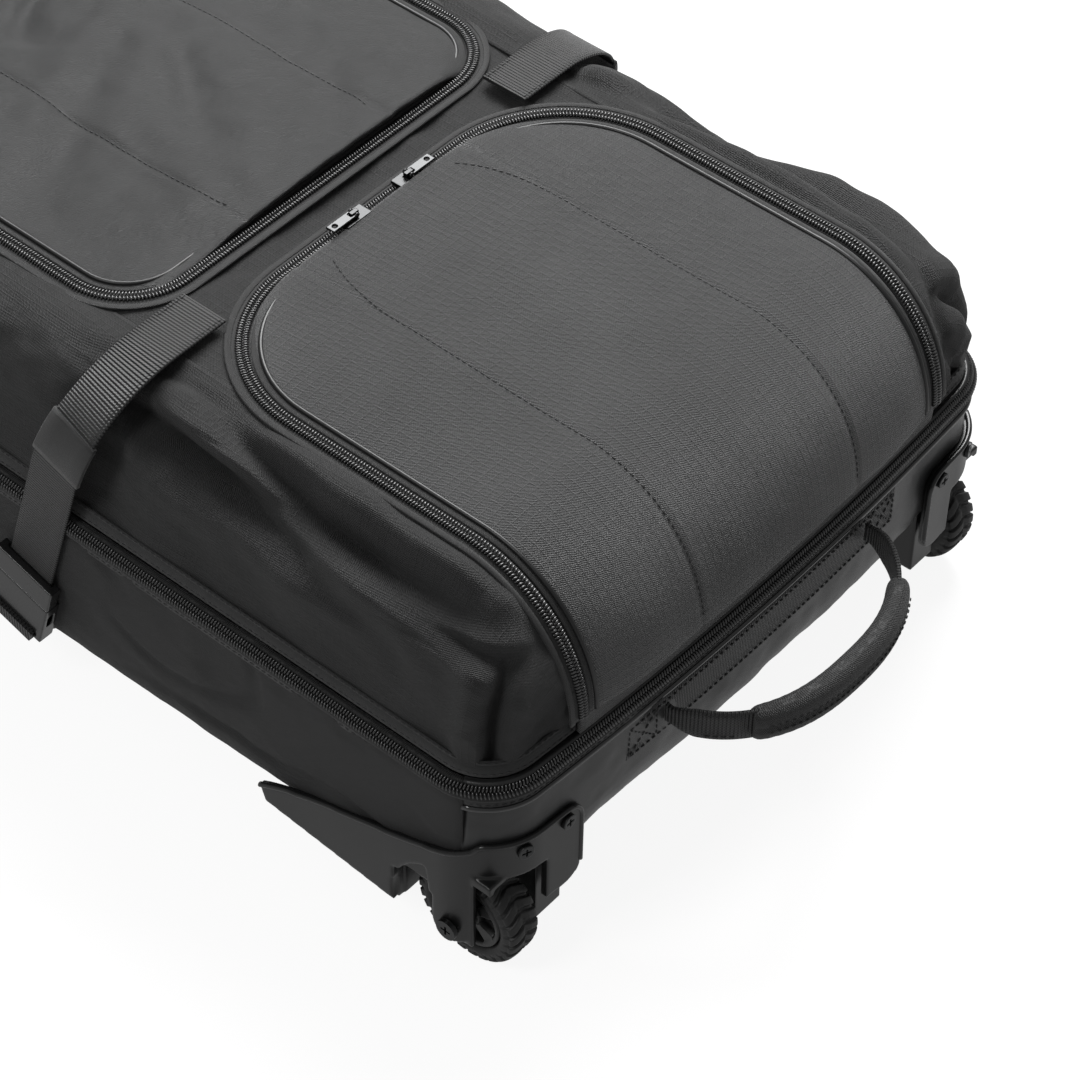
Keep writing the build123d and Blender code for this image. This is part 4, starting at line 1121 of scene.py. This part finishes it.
def grip_section(steps=40):
    """Section of the padded grip: a flattened tube with a seam down its outer face."""
    angle = np.linspace(0, 2 * np.pi, steps, endpoint=False)
    across = np.sign(np.cos(angle)) * np.abs(np.cos(angle)) ** 0.75 * 12.5 * MM
    out = np.sign(np.sin(angle)) * np.abs(np.sin(angle)) ** 0.75 * 7.8 * MM
    dent = 1.6 * MM * np.exp(-((across / (1.6 * MM)) ** 2)) * (out > 0)
    return np.stack([across, out - dent], 1)


def handle(word, sense, face_y):
    points, normals = handle_line(sense, face_y)
    count = len(points)
    name = f"{word}_handle_tails"
    flat = band_profile(-11 * MM, 11 * MM, -1.4 * MM, 1.4 * MM, steps=4)
    tails = sweep(name, points, normals, flat, strap_cloth, f"{word}_handle", [f"{word}_handle_loop"])
    verts = np.array([v.co for v in tails.data.vertices])
    away = np.abs(verts[:, 1] - face_y)
    narrow = np.clip(0.55 + 0.45 * away / (14 * MM), 0.55, 1)
    verts[:, 2] = handle_z + (verts[:, 2] - handle_z) * narrow
    tails.data.vertices.foreach_set("co", verts.astype(np.float32).ravel())
    for row, z in enumerate((-8.5 * MM, 8.5 * MM)):
        line = points + (0, 0, z)
        for end, part in enumerate((slice(11, 22), slice(count - 22, count - 11))):
            seam_name = f"{word}_tail_seam_{row}_{end}"
            stitches(seam_name, line[part], normals[part], f"{word}_handle", lift=1.6 * MM)
    inner = np.abs(points[:, 0]) < 68 * MM
    padded = sweep(f"{word}_handle_padding", points[inner], normals[inner], grip_section(), grip_cloth,
                   f"{word}_handle", [f"{word}_handle_grip"])
    work = np.array([v.co for v in padded.data.vertices]).reshape(-1, 40, 3)
    middle = points[inner][:, None]
    rows = len(work)
    t = np.linspace(-1, 1, rows)[:, None, None]
    swell = 0.9 + 0.12 * (1 - t**2) - 0.14 * np.exp(-(((1 - np.abs(t)) / 0.03) ** 2))
    crease = 1 + 0.012 * np.sin(np.arange(rows) * 1.9)[:, None, None] * np.abs(t)
    work = middle + (work - middle) * swell * crease
    padded.data.vertices.foreach_set("co", work.astype(np.float32).ravel())
    seam = points[inner] + normals[inner] * 6.2 * MM
    for row, z in enumerate((-2.6 * MM, 2.6 * MM)):
        stitches(f"{word}_grip_seam_{row}", (seam + (0, 0, z))[3:-3], normals[inner][3:-3], f"{word}_handle",
                 lift=1.5 * MM)




def woven_patch():
    """Webbing patch that spreads the handle's pull over the end panel."""
    low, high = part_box("handle_patch")
    x = np.linspace(low.x, high.x, 120)
    s = np.array([plan_distance(-abs(value), wheel_end - bow) for value in x])
    place, out = plan_at(s)
    flip = np.where(x > 0, -1.0, 1.0)
    place = np.stack([x, place[:, 1]], 1)
    out = np.stack([out[:, 0] * flip, out[:, 1]], 1)
    z = np.linspace(low.z, high.z, 30)[None, :]
    edge = np.minimum(np.minimum(z - low.z, high.z - z), (high.x - np.abs(x))[:, None])
    lift = (0.6 + 1.3 * np.clip(edge / (1.5 * MM), 0, 1)) * MM
    points = np.stack([
        place[:, :1] + out[:, :1] * lift, place[:, 1:] + out[:, 1:] * lift, np.broadcast_to(z, lift.shape),
    ], -1)
    uv = np.stack(np.broadcast_arrays(x[:, None], z), -1)
    sheet("handle_patch_weave", points, uv, patch_cloth, "tray", ["handle_patch"], thickness=1 * MM)


def patch_stitching():
    """Seam round the woven patch behind the handle, with a crossed box at each end."""
    low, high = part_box("handle_patch")
    inset = 3.5 * MM
    x_end, z_low, z_high = high.x - inset, low.z + inset, high.z - inset
    cross = x_end - (z_high - z_low)
    lines = [
        ((-x_end, z_low), (x_end, z_low)), ((x_end, z_low), (x_end, z_high)),
        ((x_end, z_high), (-x_end, z_high)), ((-x_end, z_high), (-x_end, z_low)),
    ]
    for sign in (-1, 1):
        lines.append(((sign * cross, z_low), (sign * x_end, z_high)))
        lines.append(((sign * cross, z_high), (sign * x_end, z_low)))
        lines.append(((sign * cross, z_low), (sign * cross, z_high)))
    for number, (start, end) in enumerate(lines):
        track = np.linspace(start, end, 40)
        bowed_y = wheel_end - bow + track[:, 0] ** 2 / (2 * bow_radius)
        s = np.array([plan_distance(-abs(x), y) for x, y in zip(track[:, 0], bowed_y)])
        place, out = plan_at(s)
        flip = np.where(track[:, :1] > 0, -1.0, 1.0)
        place = place * np.hstack([flip, np.ones_like(flip)])
        out = out * np.hstack([flip, np.ones_like(flip)])
        place[:, 0] = track[:, 0]
        points = np.column_stack([place + out * 2.0 * MM, track[:, 1]])
        normals = np.column_stack([out, 0 * track[:, 1]])
        stitches(f"patch_seam_{number}", points, normals, "tray", radius=0.6 * MM)


woven_patch()
patch_stitching()
handle("end", -1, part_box("end_handle_loop")[1].y)
handle("head", 1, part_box("head_handle_loop")[0].y)


# ================================================================ wheels
def smooth_step(value, width):
    return np.clip(value / width + 0.5, 0, 1)


def tyre(word):
    """Black tyre with a chevron tread across its crown and blocks on its shoulders."""
    low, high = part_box(f"wheel_tyre_{word}")
    centre = (low + high) / 2
    half_wide = (high.x - low.x) / 2
    outer = (high.z - low.z) / 2
    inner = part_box(f"wheel_hub_{word}")
    inner = (inner[1].z - inner[0].z) / 2
    around = 600
    section = 72
    turn = np.linspace(0, 2 * np.pi, around, endpoint=False)[:, None]
    side = np.linspace(0, 2 * np.pi, section, endpoint=False)[None, :]
    mid = (outer + inner) / 2
    deep = (outer - inner) / 2
    power = 0.62
    x = half_wide * np.sign(np.cos(side)) * np.abs(np.cos(side)) ** power
    r = mid + deep * np.sign(np.sin(side)) * np.abs(np.sin(side)) ** power
    blocks = 26
    chevron = np.sin(blocks * turn - 2.2 * np.abs(x) / half_wide * 2)
    groove = 1 - smooth_step(chevron + 0.55, 0.5)
    centre_groove = np.exp(-((x / (1.2 * MM)) ** 2))
    crown = smooth_step(np.sin(side) - 0.25, 0.3)
    depth = 2.0 * MM * np.maximum(groove, 0.8 * centre_groove) * crown
    shoulder_ring = np.exp(-(((r - mid - 0.25 * deep) / (1.2 * MM)) ** 2)) * 0.8 * MM
    x = x - np.sign(x) * (shoulder_ring + 0.7 * MM * groove * smooth_step(r - mid, 2 * MM))
    r = r - depth
    x, turn = np.broadcast_arrays(x, turn)
    points = np.stack([centre.x + x, centre.y + r * np.cos(turn), centre.z + r * np.sin(turn)], -1)
    uv = np.stack([turn * outer, x], -1)
    rows, cols = points.shape[:2]
    index = np.arange(rows * cols).reshape(rows, cols)
    index = np.concatenate([index, index[:1]], 0)
    index = np.concatenate([index, index[:, :1]], 1)
    faces = np.stack([index[:-1, :-1], index[:-1, 1:], index[1:, 1:], index[1:, :-1]], -1).reshape(-1, 4)
    node = f"wheel_tyre_{word}"
    body = f"wheel_{word}"
    mesh_from(f"{node}_tread", points.reshape(-1, 3), faces, uv.reshape(-1, 2), tyre_rubber, body, [node])


def hub(word):
    """Moulded hub: a boss and a rim joined by five spokes over recessed webs."""
    low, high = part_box(f"wheel_hub_{word}")
    centre = (low + high) / 2
    half_wide = (high.x - low.x) / 2
    rim = (high.z - low.z) / 2 + 0.2 * MM
    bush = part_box(f"wheel_bush_{word}")
    bore = (bush[1].z - bush[0].z) / 2 - 0.1 * MM
    around = 240
    steps = 26
    turn = np.linspace(0, 2 * np.pi, around, endpoint=False)[:, None]
    reach = np.linspace(bore, rim, steps)[None, :]
    spoke = smooth_step(np.cos(5 * turn) - 0.15, 0.25)
    ring = smooth_step(reach - bore - 3.2 * MM, 1.2 * MM) * smooth_step(rim - 3.2 * MM - reach, 1.2 * MM)
    recess = 6 * MM * ring * (1 - spoke) + 1.2 * MM * ring
    face = half_wide - recess
    x = np.concatenate([face, -face[:, ::-1]], 1)
    r = np.concatenate([np.broadcast_to(reach, face.shape), np.broadcast_to(reach[:, ::-1], face.shape)], 1)
    turn = np.broadcast_to(turn, x.shape)
    points = np.stack([centre.x + x, centre.y + r * np.cos(turn), centre.z + r * np.sin(turn)], -1)
    rows, cols = x.shape
    index = np.arange(rows * cols).reshape(rows, cols)
    index = np.concatenate([index, index[:1]], 0)
    index = np.concatenate([index, index[:, :1]], 1)
    faces = np.stack([index[:-1, :-1], index[:-1, 1:], index[1:, 1:], index[1:, :-1]], -1).reshape(-1, 4)
    uv = np.stack([x, r], -1)
    node = f"wheel_hub_{word}"
    body = f"wheel_{word}"
    mesh_from(f"{node}_spoked", points.reshape(-1, 3), faces, uv.reshape(-1, 2), hub_plastic, body, [node])


for word, sign in (("left", -1), ("right", 1)):
    tyre(word)
    hub(word)


fin_y = wheel_end + np.array([6, 46, 112, 172]) * MM
fin_z = np.array([114, 94, 72, 46]) * MM
fin_fall = np.polyfit(fin_y, fin_z, 3)


def housing_shell(word):
    """Moulded housing whose top edge runs down from the end plate to the fin without a step."""
    shell = f"housing_shell_{word}"
    piece = rounded_copy(f"wheel_housing_{word}", shell, housing_plastic, "tray", 0.9 * MM, 8)
    graph = bpy.context.evaluated_depsgraph_get()
    mesh = bpy.data.meshes.new_from_object(piece.evaluated_get(graph))
    verts = np.empty(len(mesh.vertices) * 3, np.float32)
    mesh.vertices.foreach_get("co", verts)
    verts = verts.reshape(-1, 3)
    top = np.polyval(fin_fall, verts[:, 1])
    corner = (verts[:, 1] > fin_y[0]) & (verts[:, 1] < wheel_end + 50 * MM)
    verts[:, 2] = np.where(corner, np.minimum(verts[:, 2], top), verts[:, 2])
    mesh.vertices.foreach_set("co", verts.ravel())
    mesh.polygons.foreach_set("use_smooth", [True] * len(mesh.polygons))
    piece.modifiers.clear()
    piece.data = mesh


def housing_lip(word, sign):
    """Raised bead along a housing's top edge: up the end plate, round the corner, down the fin."""
    skin = 5 * MM
    top = 114 * MM
    inner_x = half_width - 66 * MM
    bend = 12 * MM
    y = np.linspace(fin_y[0], fin_y[-1], 40)
    side_s = np.array([plan_distance(-half_width, value) for value in y])
    inner_s = plan_distance(-inner_x, wheel_end - bow)
    turn = np.radians(np.linspace(0, 90, 10))
    s = np.concatenate([[inner_s, inner_s], inner_s - bend * (1 - np.cos(turn)), side_s])
    z = np.concatenate([[62 * MM, 90 * MM], top - bend + bend * np.sin(turn), np.polyval(fin_fall, y)])
    track, _ = resample(np.stack([s, z], 1), 2 * MM)
    place, out = plan_at(track[:, 0])
    points = np.column_stack([place + out * skin, track[:, 1]])
    normals = np.column_stack([out, np.zeros(len(out))])
    if sign > 0:
        points = points[::-1] * (-1, 1, 1)
        normals = normals[::-1] * (-1, 1, 1)
    ring = ring_profile(0, -0.6 * MM, 1.6 * MM, 1.9 * MM, 12)
    sweep(f"housing_lip_{word}", points, normals, ring, lip_plastic, "tray")


for word, sign in (("left", -1), ("right", 1)):
    housing_shell(word)
    housing_lip(word, sign)
rounded_copy("housing_screws", "housing_screw_heads", black_steel, "tray", 0.35 * MM, 2)


# ================================================================ floor, lights, camera
floor_material, floor_nodes, floor_links = new_material("floor_white")
floor_shader = floor_nodes["Principled BSDF"]
floor_shader.inputs["Base Color"].default_value = (0.12, 0.12, 0.12, 1)
floor_shader.inputs["Roughness"].default_value = 0.9
floor_shader.inputs["Emission Color"].default_value = (1.0, 1.0, 1.0, 1)
# The floor reads white to the camera but lights the bag only gently from below.
sight = floor_nodes.new("ShaderNodeLightPath")
glow = math_node(floor_nodes, floor_links, "MULTIPLY_ADD", sight.outputs["Is Camera Ray"], 0.48)
glow.node.inputs[2].default_value = 0.42
floor_links.new(glow, floor_shader.inputs["Emission Strength"])
bpy.ops.mesh.primitive_plane_add(size=30, location=(0, 0, -0.5 * MM))
floor = bpy.context.object
floor.name = "studio_floor"
floor.data.materials.append(floor_material)

world = bpy.data.worlds.new("studio")
bpy.context.scene.world = world
world.use_nodes = True
world.node_tree.nodes["Background"].inputs[0].default_value = (1.0, 1.0, 1.0, 1)
world.node_tree.nodes["Background"].inputs[1].default_value = 0.3


def soft_light(name, direction, distance, size, power, target=(0, -0.4, 0.15)):
    light = bpy.data.lights.new(name, "AREA")
    light.shape = "RECTANGLE"
    light.size, light.size_y = size
    light.energy = power
    lamp = bpy.data.objects.new(name, light)
    bpy.context.scene.collection.objects.link(lamp)
    aim = Vector(direction).normalized()
    lamp.location = Vector(target) + aim * distance
    lamp.rotation_euler = aim.to_track_quat("Z", "Y").to_euler()
    return lamp


soft_light("key_softbox", (0.55, 0.30, 0.75), 2.6, (2.0, 1.4), 165)
soft_light("fill_softbox", (-0.75, 0.05, 0.8), 2.4, (0.7, 0.7), 18)

azimuth, elevation, roll = (math.radians(a) for a in (-50.2, 46.7, 1.07))
level = Vector((math.cos(azimuth), math.sin(azimuth), 0))
back = Vector((
    math.sin(azimuth) * math.cos(elevation), -math.cos(azimuth) * math.cos(elevation), math.sin(elevation),
))
rise = back.cross(level)
right = level * math.cos(roll) + rise * math.sin(roll)
up = rise * math.cos(roll) - level * math.sin(roll)
aim = Vector((0, wheel_end, zip_z))
camera_data = bpy.data.cameras.new("camera")
camera_data.lens = 117.3
camera_data.sensor_width = 36
camera = bpy.data.objects.new("camera", camera_data)
bpy.context.scene.collection.objects.link(camera)
camera.matrix_world = Matrix.Translation(aim - right * 0.1218 + up * 0.0194 + back * 1.991) @ Matrix(
    (right, up, back)
).transposed().to_4x4()
bpy.context.scene.camera = camera
bpy.context.scene.view_settings.view_transform = "Standard"
